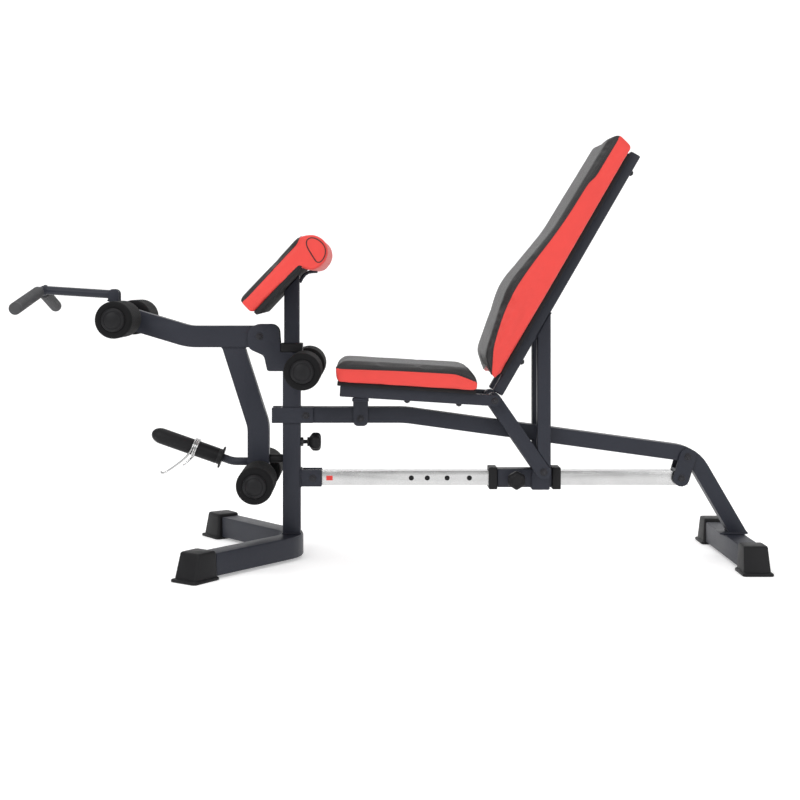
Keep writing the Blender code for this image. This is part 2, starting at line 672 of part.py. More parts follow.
def backrest():
    """The backrest frame: rails, posts and links on each side, with its board and pad."""
    made = []
    half = PAD_RAIL / 2.0
    rail = [back_point(LINK_RADIUS + 0.0006, -half), back_point(BACK_LENGTH, -half),
            back_point(BACK_LENGTH, half), back_point(LINK_RADIUS + 0.0006, half)]
    down = Vector(CARRIAGE_PIVOT) - Vector(BACK_PIVOT)
    down.normalize()
    rear_side = Vector((-down.y, down.x))
    under_cut = tuple(Vector(CARRIAGE_PIVOT) + rear_side * (LINK_RADIUS + TOUCH))
    top_cut = back_point(0.0, -half - TOUCH)
    up = (math.cos(BACK_ANGLE), math.sin(BACK_ANGLE))
    right = CARRIAGE_PIVOT[0] + LINK_RADIUS
    left = right - BACK_POST_WIDTH
    post = [vertical_cut(left, under_cut, down), vertical_cut(right, under_cut, down),
            vertical_cut(right, top_cut, up), vertical_cut(left, top_cut, up)]
    holes = [circle(BACK_PIVOT, BOLT_RADIUS + HINGE), circle(CARRIAGE_PIVOT, BOLT_RADIUS + HINGE)]
    for side, sign in sides():
        low, high = span_y(sign, BACK_INNER, BACK_OUTER)
        made.append(plate(f"back_rail_{side}", rail, low, high, "powder_coat"))
        made.append(plate(f"back_post_{side}", post, low, high, "powder_coat"))
        made.append(plate(f"back_link_{side}", capsule(BACK_PIVOT, CARRIAGE_PIVOT, LINK_RADIUS),
                          low, high, "powder_coat", holes))
        reach = BACK_OUTER + TOUCH
        profile = [(0.0, reach + 0.0055), (0.0085, reach + 0.0055), (0.0085, reach),
                   (BOLT_RADIUS, reach), (BOLT_RADIUS, BACK_INNER), (0.0, BACK_INNER)]
        made.append(turned(f"link_bolt_{side}", profile, (CARRIAGE_PIVOT[0], 0.0, CARRIAGE_PIVOT[1]),
                           (0.0, sign, 0.0), "zinc", steps=12))
    board = half + TOUCH
    ends = (0.060, BACK_LENGTH - 0.015)
    outline = [back_point(ends[0], board), back_point(ends[1], board),
               back_point(ends[1], board + BOARD), back_point(ends[0], board + BOARD)]
    made.append(plate("back_board", outline, -SEAT_OUTER - 0.015, SEAT_OUTER + 0.015, "plywood"))
    bottom = board + BOARD + TOUCH
    top = BACK_LENGTH + 0.005
    corners = [(0.036, bottom), (top, bottom), (top + 0.012, 0.070), (0.410, 0.077), (0.245, 0.104),
               (0.075, 0.070)]
    outline = rounded([back_point(*corner) for corner in corners],
                      [0.004, 0.006, 0.012, 0.30, 0.16, 0.030])
    made.append(plate("back_pad", outline, -BACK_WIDTH / 2.0, BACK_WIDTH / 2.0, "red_vinyl"))
    return made


def carriage():
    """The sleeve that slides on the rail, its end bushings and the pivot bracket under it."""
    rear = CARRIAGE_FRONT + CARRIAGE_LENGTH
    reach = (-SLEEVE_OUTER, RAIL_Z - SLEEVE_OUTER), (SLEEVE_OUTER, RAIL_Z + SLEEVE_OUTER)
    bore = (-SLEEVE_INNER, RAIL_Z - SLEEVE_INNER), (SLEEVE_INNER, RAIL_Z + SLEEVE_INNER)
    spans = {
        "carriage_sleeve": (CARRIAGE_FRONT + BUSHING_LENGTH + TOUCH, rear - BUSHING_LENGTH - TOUCH, 0.0),
        "carriage_bushing_front": (CARRIAGE_FRONT, CARRIAGE_FRONT + BUSHING_LENGTH, 0.0045),
        "carriage_bushing_rear": (rear - BUSHING_LENGTH, rear, 0.0045),
    }
    made = []
    for name, (start, end, proud) in spans.items():
        low = (start, reach[0][0] - proud, reach[0][1] - proud)
        high = (end, reach[1][0] + proud, reach[1][1] + proud)
        piece = box(name, low, high, "black_plastic" if proud else "powder_coat")
        hollow(piece, (0.0, *bore[0]), (1.0, *bore[1]))
        made.append(piece)
    drill(made[0], (CARRIAGE_PIN_X, -0.1, RAIL_Z), (CARRIAGE_PIN_X, 0.0, RAIL_Z), PIN_RADIUS + HINGE)
    inner = SLEEVE_OUTER + TOUCH
    outer = inner + PLATE
    x, z = CARRIAGE_PIVOT
    low_z = RAIL_Z - inner - PLATE
    outline = rounded([(x - 0.024, low_z), (x + 0.0185, low_z), (x + 0.0185, z + 0.0175),
                       (x - 0.0185, z + 0.0175), (x - 0.024, z - 0.016)],
                      [0.004, 0.004, 0.0175, 0.0175, 0.006])
    bracket = as_mesh(plate("carriage_bracket", outline, -outer, outer, "powder_coat"))
    hollow(bracket, (0.0, -inner, low_z + PLATE), (1.0, inner, 0.4))
    made.append(bracket)
    return made


def pull_knob(name, tip, face, direction):
    """A pull pin: its tip, the shank through the wall and the knob outside."""
    shank = face + 0.017
    profile = [(0.0, shank + 0.031), (KNOB_RADIUS * 0.62, shank + 0.031),
               (KNOB_RADIUS, shank + 0.025), (KNOB_RADIUS, shank + 0.012),
               (KNOB_RADIUS * 0.55, shank + 0.004), (KNOB_RADIUS * 0.45, shank),
               (PIN_RADIUS, shank), (PIN_RADIUS, 0.0), (0.0, 0.0)]
    return turned(name, profile, tip, direction, "black_plastic", steps=24)


def preacher():
    """The preacher pad on the post that slides in the upright."""
    board_out = PREACHER_ROLL_RADIUS - PREACHER_THICKNESS - TOUCH
    back = board_out - BOARD
    heading = (math.cos(PREACHER_SLOPE), math.sin(PREACHER_SLOPE))
    cut = preacher_point(0.0, back - TOUCH)
    outline = [(-HALF_INNER, INNER_POST_BOTTOM), (HALF_INNER, INNER_POST_BOTTOM),
               vertical_cut(HALF_INNER, cut, heading), vertical_cut(-HALF_INNER, cut, heading)]
    post = as_mesh(plate("preacher_post", outline, -HALF_INNER, HALF_INNER, "powder_coat"))
    for i in range(PREACHER_HOLES):
        z = KNOB_Z - i * PREACHER_HOLE_PITCH
        drill(post, (HALF_INNER - 0.008, 0.0, z), (0.1, 0.0, z), PIN_RADIUS + 0.0005)
    corners = [(-PREACHER_LENGTH + 0.008, back), (-PREACHER_ROLL_RADIUS - 0.0012, back),
               (-PREACHER_ROLL_RADIUS - 0.0012, board_out), (-PREACHER_LENGTH + 0.008, board_out)]
    half = PREACHER_WIDTH / 2.0
    board = plate("preacher_board", [preacher_point(*c) for c in corners], -half + 0.012, half - 0.012,
                  "plywood")
    inside = PREACHER_ROLL_RADIUS - PREACHER_THICKNESS
    meet = math.pi - math.asin(inside / PREACHER_ROLL_RADIUS)
    roll = arc((0.0, 0.0), PREACHER_ROLL_RADIUS, math.pi / 2.0, meet - 2.0 * math.pi, 20)
    local = [(-PREACHER_LENGTH, inside), (-PREACHER_LENGTH, PREACHER_ROLL_RADIUS)]
    outline = [preacher_point(*p) for p in local + roll]
    return [post, board, plate("preacher_pad", outline, -half, half, "red_vinyl")]


def lever():
    """The leg lever: arm, leg, roller axles, stop, curl bracket and plate holder."""
    width = LEVER_WIDTH / 2.0
    hole = circle(LEVER_PIVOT, BOLT_RADIUS + HINGE)
    top_hole = circle(LEVER_TOP_ROLLER, AXLE_RADIUS + TOUCH)
    rear = (LEVER_PIVOT[0] + 0.022, LEVER_KNEE[1])
    arm = plate("lever_arm", band([rear, LEVER_KNEE, LEVER_TIP], LEVER_TUBE, [0.12]), -width, width,
                "powder_coat", [hole, top_hole])
    under = LEVER_KNEE[1] - LEVER_TUBE / 2.0 - TOUCH
    line = [(LEG_TOP_X, under), LEG_KNEE, (LEG_KNEE[0], LEG_BOTTOM)]
    leg = plate("lever_leg", band(line, LEVER_TUBE, [0.09], start_height=under), -width, width,
                "powder_coat", [circle(LEVER_LOW_ROLLER, AXLE_RADIUS + TOUCH)])
    leg_rear = LEG_KNEE[0] + LEVER_TUBE / 2.0 + TOUCH
    stop_z = 0.231
    stop = rod("lever_stop", (leg_rear, 0.0, stop_z), (-HALF_POST - TOUCH, 0.0, stop_z), 0.010,
               "black_plastic")
    made = [arm, leg, stop, axle("lever_top_axle", LEVER_TOP_ROLLER),
            axle("lever_low_axle", LEVER_LOW_ROLLER)]
    rise = (LEVER_TIP[1] - LEVER_KNEE[1]) / (LEVER_TIP[0] - LEVER_KNEE[0])
    top = LEVER_TUBE / 2.0 * math.sqrt(1.0 + rise * rise) + TOUCH

    def arm_top(x):
        """Height of the arm's sloping top face."""
        return LEVER_KNEE[1] + (x - LEVER_KNEE[0]) * rise + top

    x, z = CURL_PIVOT
    ear = 0.013
    outline = rounded([(x - ear, arm_top(x - ear)), (x + ear, arm_top(x + ear)), (x + ear, z + ear),
                       (x - ear, z + ear)], [0.0, 0.0, 0.012, 0.012])
    slot = CURL_TUBE_RADIUS + SLIDE
    bracket = as_mesh(plate("curl_bracket", outline, -slot - 0.004, slot + 0.004, "powder_coat"))
    floor = 0.002
    slot_outline = [(x - 0.05, arm_top(x - 0.05) + floor), (x + 0.05, arm_top(x + 0.05) + floor),
                    (x + 0.05, z + 0.1), (x - 0.05, z + 0.1)]
    slot_cutter = as_mesh(plate("curl_bracket_slot", slot_outline, -slot, slot, "zinc"))
    parts.objects.unlink(slot_cutter)
    cutters.objects.link(slot_cutter)
    boolean(bracket, slot_cutter)
    made.append(bracket)
    slope = Vector((-math.cos(HOLDER_ANGLE), 0.0, math.sin(HOLDER_ANGLE)))
    bend = Vector((HOLDER_BEND_X, 0.0, HOLDER_Z))
    start = Vector((LEG_KNEE[0] - LEVER_TUBE / 2.0 - TOUCH, 0.0, HOLDER_Z))
    flange = bend + slope * SLEEVE_START
    tangent_in = bend - (bend - start) * 0.3
    tangent_out = bend + slope * 0.010
    curve = [tangent_in.lerp(bend, t).lerp(bend.lerp(tangent_out, t), t) for t in (0.0, 0.33, 0.67, 1.0)]
    made.append(wire("plate_holder_rod", [start, *curve, flange - slope * TOUCH], HOLDER_ROD_RADIUS,
                     "powder_coat", 3))
    end = SLEEVE_LENGTH
    profile = [(0.0, end), (SLEEVE_RADIUS * 0.55, end - 0.002), (SLEEVE_RADIUS * 0.9, end - 0.009),
               (SLEEVE_RADIUS, end - 0.018), (SLEEVE_RADIUS, 0.004), (FLANGE_RADIUS, 0.004),
               (FLANGE_RADIUS, 0.0), (0.0, 0.0)]
    made.append(turned("plate_holder_sleeve", profile, flange, slope, "black_plastic"))
    return made, flange, slope


def curl_handle():
    """The curl bar with its angled handle and two grips."""
    pivot = Vector((CURL_PIVOT[0], 0.0, CURL_PIVOT[1]))
    bend = Vector((CURL_BEND[0], 0.0, CURL_BEND[1]))
    heading = (bend - pivot).normalized()
    bar = rod("curl_bar", pivot - heading * CURL_TAIL, bend, CURL_TUBE_RADIUS, "powder_coat")
    middle = bend
    tips = [Vector((CURL_GRIP_END[0], sign * CURL_GRIP_END[1], CURL_GRIP_END[2])) for _, sign in sides()]
    near_bend = [middle.lerp(tip, 0.06) for tip in tips]
    ends = [middle.lerp(tip, 0.97) for tip in tips]
    points = [ends[0], near_bend[0], middle.lerp(near_bend[0].lerp(near_bend[1], 0.5), 0.5),
              near_bend[1], ends[1]]
    handle = as_mesh(wire("curl_handle_tube", points, CURL_TUBE_RADIUS, "powder_coat", 3))
    parts.objects.unlink(handle)
    cutters.objects.link(handle)
    boolean(bar, handle, "UNION")
    made = [bar]
    for (side, _), tip in zip(sides(), tips):
        out = (tip - middle).normalized()
        length = (tip - middle).length
        start = middle + out * 0.030
        grip = length - 0.030 + 0.006
        bore = CURL_TUBE_RADIUS + 0.0008
        profile = [(0.0, grip), (GRIP_RADIUS * 0.8, grip), (GRIP_RADIUS, grip - 0.003),
                   (GRIP_RADIUS, 0.0), (bore, 0.0), (bore, grip - 0.004), (0.0, grip - 0.004)]
        made.append(turned(f"curl_grip_{side}", profile, start, out, "black_foam", steps=20))
    return made


def spring_clip(flange, slope):
    """The wire clip that grips the plate holder's sleeve."""
    radius = SLEEVE_RADIUS + CLIP_WIRE_RADIUS + 0.0020
    pitch = CLIP_WIRE_RADIUS * 2.0 + 0.0008
    start = flange + slope * CLIP_OFFSET
    side = Vector((0.0, 1.0, 0.0))
    up = Vector((slope.z, 0.0, -slope.x))
    turns = CLIP_TURNS - 0.5
    steps = int(turns * 14)
    coil = []
    for i in range(steps + 1):
        angle = 2.0 * math.pi * turns * i / steps
        coil.append(start + slope * (pitch * angle / (2.0 * math.pi))
                    + side * (radius * math.cos(angle)) + up * (radius * math.sin(angle)))
    short = [coil[0] + slope * a - up * b - side * c
             for a, b, c in ((0.022, 0.052, 0.010), (0.014, 0.040, 0.006), (0.003, 0.020, 0.0))]
    long = [coil[-1] + slope * a - up * b + side * c
            for a, b, c in ((0.004, 0.022, 0.0), (0.022, 0.050, 0.006), (0.042, 0.078, 0.010),
                            (0.050, 0.080, 0.006), (0.051, 0.074, 0.002))]
    return [wire("spring_clip", short + coil + long, CLIP_WIRE_RADIUS, "chrome")]


def body(name, place, objects, parent):
    """Parents pieces to an empty that stands on their joint's axis."""
    empty = bpy.data.objects.new(f"{name}_joint", None)
    parts.objects.link(empty)
    empty.location = place
    empty.empty_display_size = 0.05
    bpy.context.view_layer.update()
    if parent is not None:
        empty.parent = parent
        empty.matrix_parent_inverse = parent.matrix_world.inverted()
    for obj in objects:
        obj.parent = empty
        obj.matrix_parent_inverse = Matrix.Translation(place).inverted()
    return empty


def main():
    """Builds the bench and puts its origin under the middle of its length."""
    for obj in list(bpy.data.objects):
        bpy.data.objects.remove(obj)
    for collection in (parts, cutters):
        bpy.context.scene.collection.children.link(collection)

    fixed = feet() + upright() + main_beam() + slide_rail() + [axle("upright_axle", UPRIGHT_ROLLER)]
    frame = body("frame", (0.0, 0.0, 0.0), fixed, None)
    seat_joint = body("seat", (SEAT_PIVOT[0], 0.0, SEAT_PIVOT[1]), seat(), frame)
    body("backrest", (BACK_PIVOT[0], 0.0, BACK_PIVOT[1]), backrest(), seat_joint)
    slider = body("carriage", (CARRIAGE_PIVOT[0], 0.0, RAIL_Z), carriage(), frame)
    tip = (CARRIAGE_PIN_X, -HALF_RAIL - TOUCH, RAIL_Z)
    body("carriage_pin", tip, [pull_knob("carriage_pin", tip, SLEEVE_WALL, (0.0, -1.0, 0.0))], slider)
    body("preacher", (0.0, 0.0, POST_TOP), preacher(), frame)
    tip = (HALF_INNER + TOUCH, 0.0, KNOB_Z)
    body("post_pin", tip, [pull_knob("post_pin", tip, POST_WALL, (1.0, 0.0, 0.0))], frame)
    lever_parts, flange, slope = lever()
    swing = body("lever", (LEVER_PIVOT[0], 0.0, LEVER_PIVOT[1]), lever_parts, frame)
    body("curl", (CURL_PIVOT[0], 0.0, CURL_PIVOT[1]), curl_handle(), swing)
    body("clip", tuple(flange), spring_clip(flange, slope), swing)
    for row, place, parent in (("upright", UPRIGHT_ROLLER, frame), ("top", LEVER_TOP_ROLLER, swing),
                               ("low", LEVER_LOW_ROLLER, swing)):
        for side, sign in sides():
            name = f"{row}_roller_{side}"
            body(name, (place[0], 0.0, place[1]), [foam(name, place, sign)], parent)

    bpy.context.view_layer.update()
    graph = bpy.context.evaluated_depsgraph_get()
    reach = []
    for obj in parts.objects:
        if obj.type != "EMPTY":
            piece = obj.evaluated_get(graph)
            reach += [(piece.matrix_world @ Vector(corner)).x for corner in piece.bound_box]
    frame.location.x -= (min(reach) + max(reach)) / 2.0
    for cutter in cutters.objects:
        cutter.location.x += frame.location.x


main()
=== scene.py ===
"""Looks of an adjustable weight bench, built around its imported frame.

Metres, +Z up, +X to the rear of the bench. The file is laid out as an add-on and run as a script.
"""
import json
import math

import bmesh
import bpy
from bpy.props import FloatProperty, FloatVectorProperty, IntProperty, PointerProperty
from mathutils import Matrix, Vector


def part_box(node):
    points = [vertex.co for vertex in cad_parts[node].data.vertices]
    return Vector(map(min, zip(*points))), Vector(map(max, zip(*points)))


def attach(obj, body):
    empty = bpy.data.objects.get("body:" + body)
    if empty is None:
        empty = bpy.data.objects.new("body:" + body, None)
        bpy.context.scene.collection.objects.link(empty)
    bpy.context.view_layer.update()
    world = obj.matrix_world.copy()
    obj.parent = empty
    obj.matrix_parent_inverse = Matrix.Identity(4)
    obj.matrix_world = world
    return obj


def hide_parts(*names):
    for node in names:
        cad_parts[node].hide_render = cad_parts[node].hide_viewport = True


bl_info = {
    "name": "Weight Bench Maker",
    "version": (1, 0, 0),
    "blender": (4, 5, 0),
    "location": "View3D > Sidebar > Bench",
    "description": "Makes the pads, tubes, rollers and fittings of a weight bench",
    "category": "Object",
}

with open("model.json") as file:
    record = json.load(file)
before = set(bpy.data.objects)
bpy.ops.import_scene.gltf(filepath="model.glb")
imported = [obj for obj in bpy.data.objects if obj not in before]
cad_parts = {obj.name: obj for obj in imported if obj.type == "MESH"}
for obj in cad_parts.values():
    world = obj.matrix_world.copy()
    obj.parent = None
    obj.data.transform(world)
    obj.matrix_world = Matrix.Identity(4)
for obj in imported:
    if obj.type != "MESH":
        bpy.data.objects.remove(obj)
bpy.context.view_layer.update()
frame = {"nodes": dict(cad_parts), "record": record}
BEHAVIOUR = frame["record"]["behaviour"]
BODY_OF = {node: body for body, nodes in BEHAVIOUR["bodies"].items() for node in nodes}
JOINTS = {joint["name"]: joint for joint in BEHAVIOUR["joints"]}


def low(node):
    """Lowest corner of a node."""
    return Vector(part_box(node)[0])


def high(node):
    """Highest corner of a node."""
    return Vector(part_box(node)[1])


def middle(node):
    """Middle of a node's box."""
    return (low(node) + high(node)) / 2.0


def size(node):
    """Size of a node's box."""
    return high(node) - low(node)


def pivot(joint):
    """A joint's point."""
    return Vector(JOINTS[joint]["pos_m"])


# Directions and places that many pieces share
UP = Vector((0.0, 0.0, 1.0))
SIDEWAYS = Vector((0.0, 1.0, 0.0))
REARWARD = Vector((1.0, 0.0, 0.0))
SIDES = (("near", -1.0), ("far", 1.0))
SEAT_SLOPE = math.radians(3.6)
SEAT_ALONG = Vector((-math.cos(SEAT_SLOPE), 0.0, math.sin(SEAT_SLOPE)))
SEAT_UP = Vector((math.sin(SEAT_SLOPE), 0.0, math.cos(SEAT_SLOPE)))
BACK_SLOPE = math.radians(60.0)
BACK_ALONG = Vector((math.cos(BACK_SLOPE), 0.0, math.sin(BACK_SLOPE)))
BACK_UP = Vector((-math.sin(BACK_SLOPE), 0.0, math.cos(BACK_SLOPE)))
ARM_SLOPE = math.radians(47.0)
ARM_ALONG = Vector((math.cos(ARM_SLOPE), 0.0, math.sin(ARM_SLOPE)))
ARM_UP = Vector((-math.sin(ARM_SLOPE), 0.0, math.cos(ARM_SLOPE)))
SLEEVE_AXIS = Vector(JOINTS["clip_slide"]["axis"]).normalized()
BACK_PIVOT = pivot("backrest_recline")
POST_X = middle("upright_post").x
SEAT_RAIL_Y = 0.0773
BACK_RAIL_Y = 0.052


def at(x, y, z):
    """A point measured from the middle of the upright post."""
    return Vector((POST_X + x, y, z))


def seat_at(along, across, up):
    """A point in the seat's frame, from the backrest pivot."""
    return BACK_PIVOT + SEAT_ALONG * along + SEAT_UP * up + SIDEWAYS * across


def back_at(along, across, up):
    """A point in the backrest's frame, from the backrest pivot."""
    return BACK_PIVOT + BACK_ALONG * along + BACK_UP * up + SIDEWAYS * across


def quarter(steps):
    """Even angles through a quarter turn."""
    return [math.pi / 2.0 * i / steps for i in range(steps + 1)]


# Sizes and colours that a user would change

class BenchPadSettings(bpy.types.PropertyGroup):
    """Covers and stitching of the pads."""
    red: FloatVectorProperty(name="Side colour", description="Colour of the pads' side panels",
                             subtype="COLOR", size=3, min=0.0, max=1.0, default=(0.74, 0.056, 0.046))
    black: FloatVectorProperty(name="Top colour", description="Colour of the pads' top panels",
                               subtype="COLOR", size=3, min=0.0, max=1.0, default=(0.016, 0.015, 0.016))
    voxel: FloatProperty(name="Cloth cell", description="Cell of the remeshed cover before it is filled",
                         unit="LENGTH", min=0.004, max=0.010, default=0.0055)
    pressure: FloatProperty(name="Fill pressure", description="How hard the filling pushes the cover",
                            min=0.5, max=10.0, default=4.0)
    swell: FloatProperty(name="Most swell", description="Furthest that the cover may move while filled",
                         unit="LENGTH", min=0.0, max=0.030, default=0.007)
    piping: FloatProperty(name="Piping radius", description="Radius of the bead along the seams",
                          unit="LENGTH", min=0.0005, max=0.003, default=0.0013)
    stitch: FloatProperty(name="Stitch length", description="Length of one stitch beside a seam",
                          unit="LENGTH", min=0.002, max=0.010, default=0.0045)


class BenchFrameSettings(bpy.types.PropertyGroup):
    """Tubes, plates and fasteners."""
    coat: FloatVectorProperty(name="Powder coat", description="Colour of the painted tubes",
                              subtype="COLOR", size=3, min=0.0, max=1.0, default=(0.019, 0.021, 0.030))
    tube_edge: FloatProperty(name="Tube corner", description="Radius of the corners of square tubes",
                             unit="LENGTH", min=0.0005, max=0.006, default=0.0032)
    plate_edge: FloatProperty(name="Plate edge", description="Radius of the edges of flat plates",
                              unit="LENGTH", min=0.0002, max=0.002, default=0.0009)
    bolt_radius: FloatProperty(name="Bolt head", description="Radius of a hexagon head to its corners",
                               unit="LENGTH", min=0.003, max=0.012, default=0.0062)
    bead: FloatProperty(name="Weld bead", description="Radius of the weld beads",
                        unit="LENGTH", min=0.0005, max=0.004, default=0.0018)


class BenchRollerSettings(bpy.types.PropertyGroup):
    """Foam rollers, grips and knobs."""
    foam: FloatVectorProperty(name="Foam colour", description="Colour of the foam rollers",
                              subtype="COLOR", size=3, min=0.0, max=1.0, default=(0.005, 0.005, 0.0055))
    plastic: FloatVectorProperty(name="Plastic colour", description="Colour of caps, bushings and knobs",
                                 subtype="COLOR", size=3, min=0.0, max=1.0, default=(0.007, 0.007, 0.008))
    lobes: IntProperty(name="Knob lobes", description="Number of finger lobes on a pull knob",
                       min=3, max=12, default=6)
    ribs: IntProperty(name="Grip ribs", description="Number of ribs along a curl grip",
                      min=4, max=60, default=26)


def settings(name):
    """One of the scene's groups of settings."""
    return getattr(bpy.context.scene, name)


# Shader building

class Value:
    """A number socket that takes part in Python expressions."""

    def __init__(self, shader, socket):
        self.shader = shader
        self.socket = socket

    def _math(self, operation, a, b):
        return self.shader.number("ShaderNodeMath", {"operation": operation}, {0: a, 1: b})

    def __add__(self, other):
        return self._math("ADD", self, other)

    def __radd__(self, other):
        return self._math("ADD", other, self)

    def __sub__(self, other):
        return self._math("SUBTRACT", self, other)

    def __rsub__(self, other):
        return self._math("SUBTRACT", other, self)

    def __mul__(self, other):
        return self._math("MULTIPLY", self, other)

    def __rmul__(self, other):
        return self._math("MULTIPLY", other, self)

    def above(self, edge, soft):
        """1 where the value is above an edge, with a soft step of the given half width."""
        return self.shader.number("ShaderNodeMapRange", {"interpolation_type": "SMOOTHSTEP"},
                                  {0: self, 1: edge - soft, 2: edge + soft, 3: 0.0, 4: 1.0})


class Shader:
    """Builds one material's nodes."""

    def __init__(self, name, colour):
        self.material = bpy.data.materials.new(name)
        self.material.use_nodes = True
        self.material.diffuse_color = (*colour, 1.0)
        self.tree = self.material.node_tree
        self.surface = self.tree.nodes["Principled BSDF"]
        self.place = self.node("ShaderNodeTexCoord", {}, {}).outputs["Object"]

    def node(self, kind, options, inputs):
        """A node of a type, with its settings set first and then its sockets' values or links."""
        made = self.tree.nodes.new(kind)
        for option, value in options.items():
            setattr(made, option, value)
        for socket, value in inputs.items():
            self.feed(made.inputs[socket], value)
        return made

    def feed(self, socket, value):
        """Gives a socket a value, or links it."""
        if isinstance(value, Value):
            value = value.socket
        if isinstance(value, bpy.types.NodeSocket):
            self.tree.links.new(value, socket)
        else:
            socket.default_value = value

    def number(self, kind, options, inputs, output=0):
        """A node's number output as a value."""
        return Value(self, self.node(kind, options, inputs).outputs[output])

    def noise(self, scale, detail=3.0, roughness=0.55, place=None):
        """Soft noise, from 0 to 1."""
        inputs = {"Vector": place or self.place, "Scale": scale, "Detail": detail, "Roughness": roughness}
        return self.number("ShaderNodeTexNoise", {}, inputs)

    def cells(self, scale, feature="F1"):
        """Distance to the nearest cell point or edge."""
        inputs = {"Vector": self.place, "Scale": scale}
        return self.number("ShaderNodeTexVoronoi", {"feature": feature}, inputs, "Distance")

    def stretched(self, turn, scale):
        """Object coordinates turned and scaled."""
        inputs = {"Vector": self.place, "Rotation": turn, "Scale": scale}
        return self.node("ShaderNodeMapping", {}, inputs).outputs[0]

    def mix(self, factor, first, second):
        """A colour between two colours."""
        made = self.node("ShaderNodeMix", {"data_type": "RGBA"}, {})
        self.feed(made.inputs[0], factor)
        for socket, colour in ((6, first), (7, second)):
            self.feed(made.inputs[socket], (*colour, 1.0) if isinstance(colour, tuple) else colour)
        return made.outputs[2]

    def shades(self, factor, colour, dark, light):
        """A colour between a darker and a lighter shade of one colour."""
        return self.mix(factor, scaled(colour, dark), scaled(colour, light))

    def bump(self, height, distance, strength=1.0):
        """Relief on the surface."""
        made = self.node("ShaderNodeBump", {}, {"Strength": strength, "Distance": distance})
        self.feed(made.inputs["Height"], height)
        self.feed(self.surface.inputs["Normal"], made.outputs[0])

    def set(self, **sockets):
        """Sets or links sockets of the surface shader by name, with _ for spaces."""
        for name, value in sockets.items():
            self.feed(self.surface.inputs[name.replace("_", " ")], value)


def scaled(colour, factor):
    """A lighter or darker colour."""
    return tuple(min(1.0, channel * factor) for channel in colour)


def powder_coat():
    """Satin powder coat with a fine orange peel and slightly dusty patches."""
    colour = tuple(settings("bench_frame").coat)
    s = Shader("satin_coat", colour)
    patches = s.noise(9.0, 4.0)
    peel = s.noise(900.0, 2.0, 0.4)
    speck = s.cells(650.0).above(0.42, 0.1)
    base = s.shades(patches, colour, 0.86, 1.14)
    s.set(Base_Color=s.mix(speck * 0.25, base, scaled(colour, 1.7)), Roughness=0.40 + patches * 0.12,
          Metallic=0.10, Specular_IOR_Level=0.30)
    s.bump(peel + speck * 0.3, 0.00009)
    return s.material


def chrome():
    """Chrome plate with faint drawing marks and a few dull patches."""
    colour = (0.58, 0.58, 0.58)
    s = Shader("chrome_plate", colour)
    marks = s.noise(60.0, 5.0, 0.7, s.stretched((0.0, 0.0, 0.0), (0.08, 8.0, 8.0)))
    haze = s.noise(14.0, 4.0)
    s.set(Base_Color=s.shades(haze, colour, 0.72, 1.22),
          Roughness=0.14 + haze * 0.16 + marks * 0.08, Metallic=1.0)
    s.bump(marks, 0.00002)
    return s.material


def zinc():
    """Dark zinc plate on bolts and nuts."""
    colour = (0.030, 0.030, 0.034)
    s = Shader("dark_zinc", colour)
    wear = s.noise(300.0, 3.0)
    s.set(Base_Color=s.shades(wear, colour, 0.6, 2.0), Roughness=0.34 + wear * 0.2,
          Metallic=0.6, Specular_IOR_Level=0.3)
    s.bump(wear, 0.00005)
    return s.material


def vinyl_surface(s, tops):
    """Leather-like grain with tiny wrinkles; returns a shade factor."""
    grain = s.cells(620.0, "DISTANCE_TO_EDGE")
    fine = s.noise(1500.0, 2.0)
    wrinkle = s.noise(46.0, 5.0, 0.6)
    s.bump(grain.above(0.06, 0.06) * 0.55 + fine * 0.25 + wrinkle * 0.9, 0.00022, 0.75)
    s.set(Roughness=0.40 + wrinkle * 0.14 - tops * 0.02, Specular_IOR_Level=0.35)
    return wrinkle


def two_tone_vinyl(name, across):
    """Red sides and a black top; across(shader) is above 0 on the top panel."""
    group = settings("bench_pads")
    red, black = tuple(group.red), tuple(group.black)
    s = Shader(name, red)
    seam = across(s)
    tops = seam.above(0.0, 0.0004)
    shade = vinyl_surface(s, tops)
    cloud = s.noise(6.0, 3.0)
    side = s.shades(cloud * 0.6 + shade * 0.4, red, 0.86, 1.12)
    face = s.shades(shade, black, 0.8, 1.5)
    s.set(Base_Color=s.mix(tops, side, face))
    return s.material


def plain_vinyl(name, colour):
    """Vinyl of one colour."""
    s = Shader(name, colour)
    shade = vinyl_surface(s, s.noise(20.0))
    s.set(Base_Color=s.shades(shade, colour, 0.8, 1.3))
    return s.material


def foam_skin():
    """Closed-cell foam with an open, slightly dusty skin."""
    colour = tuple(settings("bench_rollers").foam)
    s = Shader("roller_foam", colour)
    pores = s.cells(900.0)
    lumps = s.noise(70.0, 4.0)
    s.set(Base_Color=s.shades(lumps, colour, 0.7, 1.9), Roughness=0.78 + lumps * 0.15,
          Specular_IOR_Level=0.20)
    s.bump(pores * 0.7 + lumps * 0.6, 0.00035, 0.8)
    return s.material


def moulded_plastic():
    """Moulded black plastic with a spark-eroded texture."""
    colour = tuple(settings("bench_rollers").plastic)
    s = Shader("moulded_plastic", colour)
    grain = s.noise(1100.0, 2.0, 0.5)
    scuff = s.noise(25.0, 5.0, 0.7)
    s.set(Base_Color=s.shades(scuff, colour, 0.8, 1.6), Roughness=0.42 + scuff * 0.18,
          Specular_IOR_Level=0.22)
    s.bump(grain, 0.00012, 0.6)
    return s.material


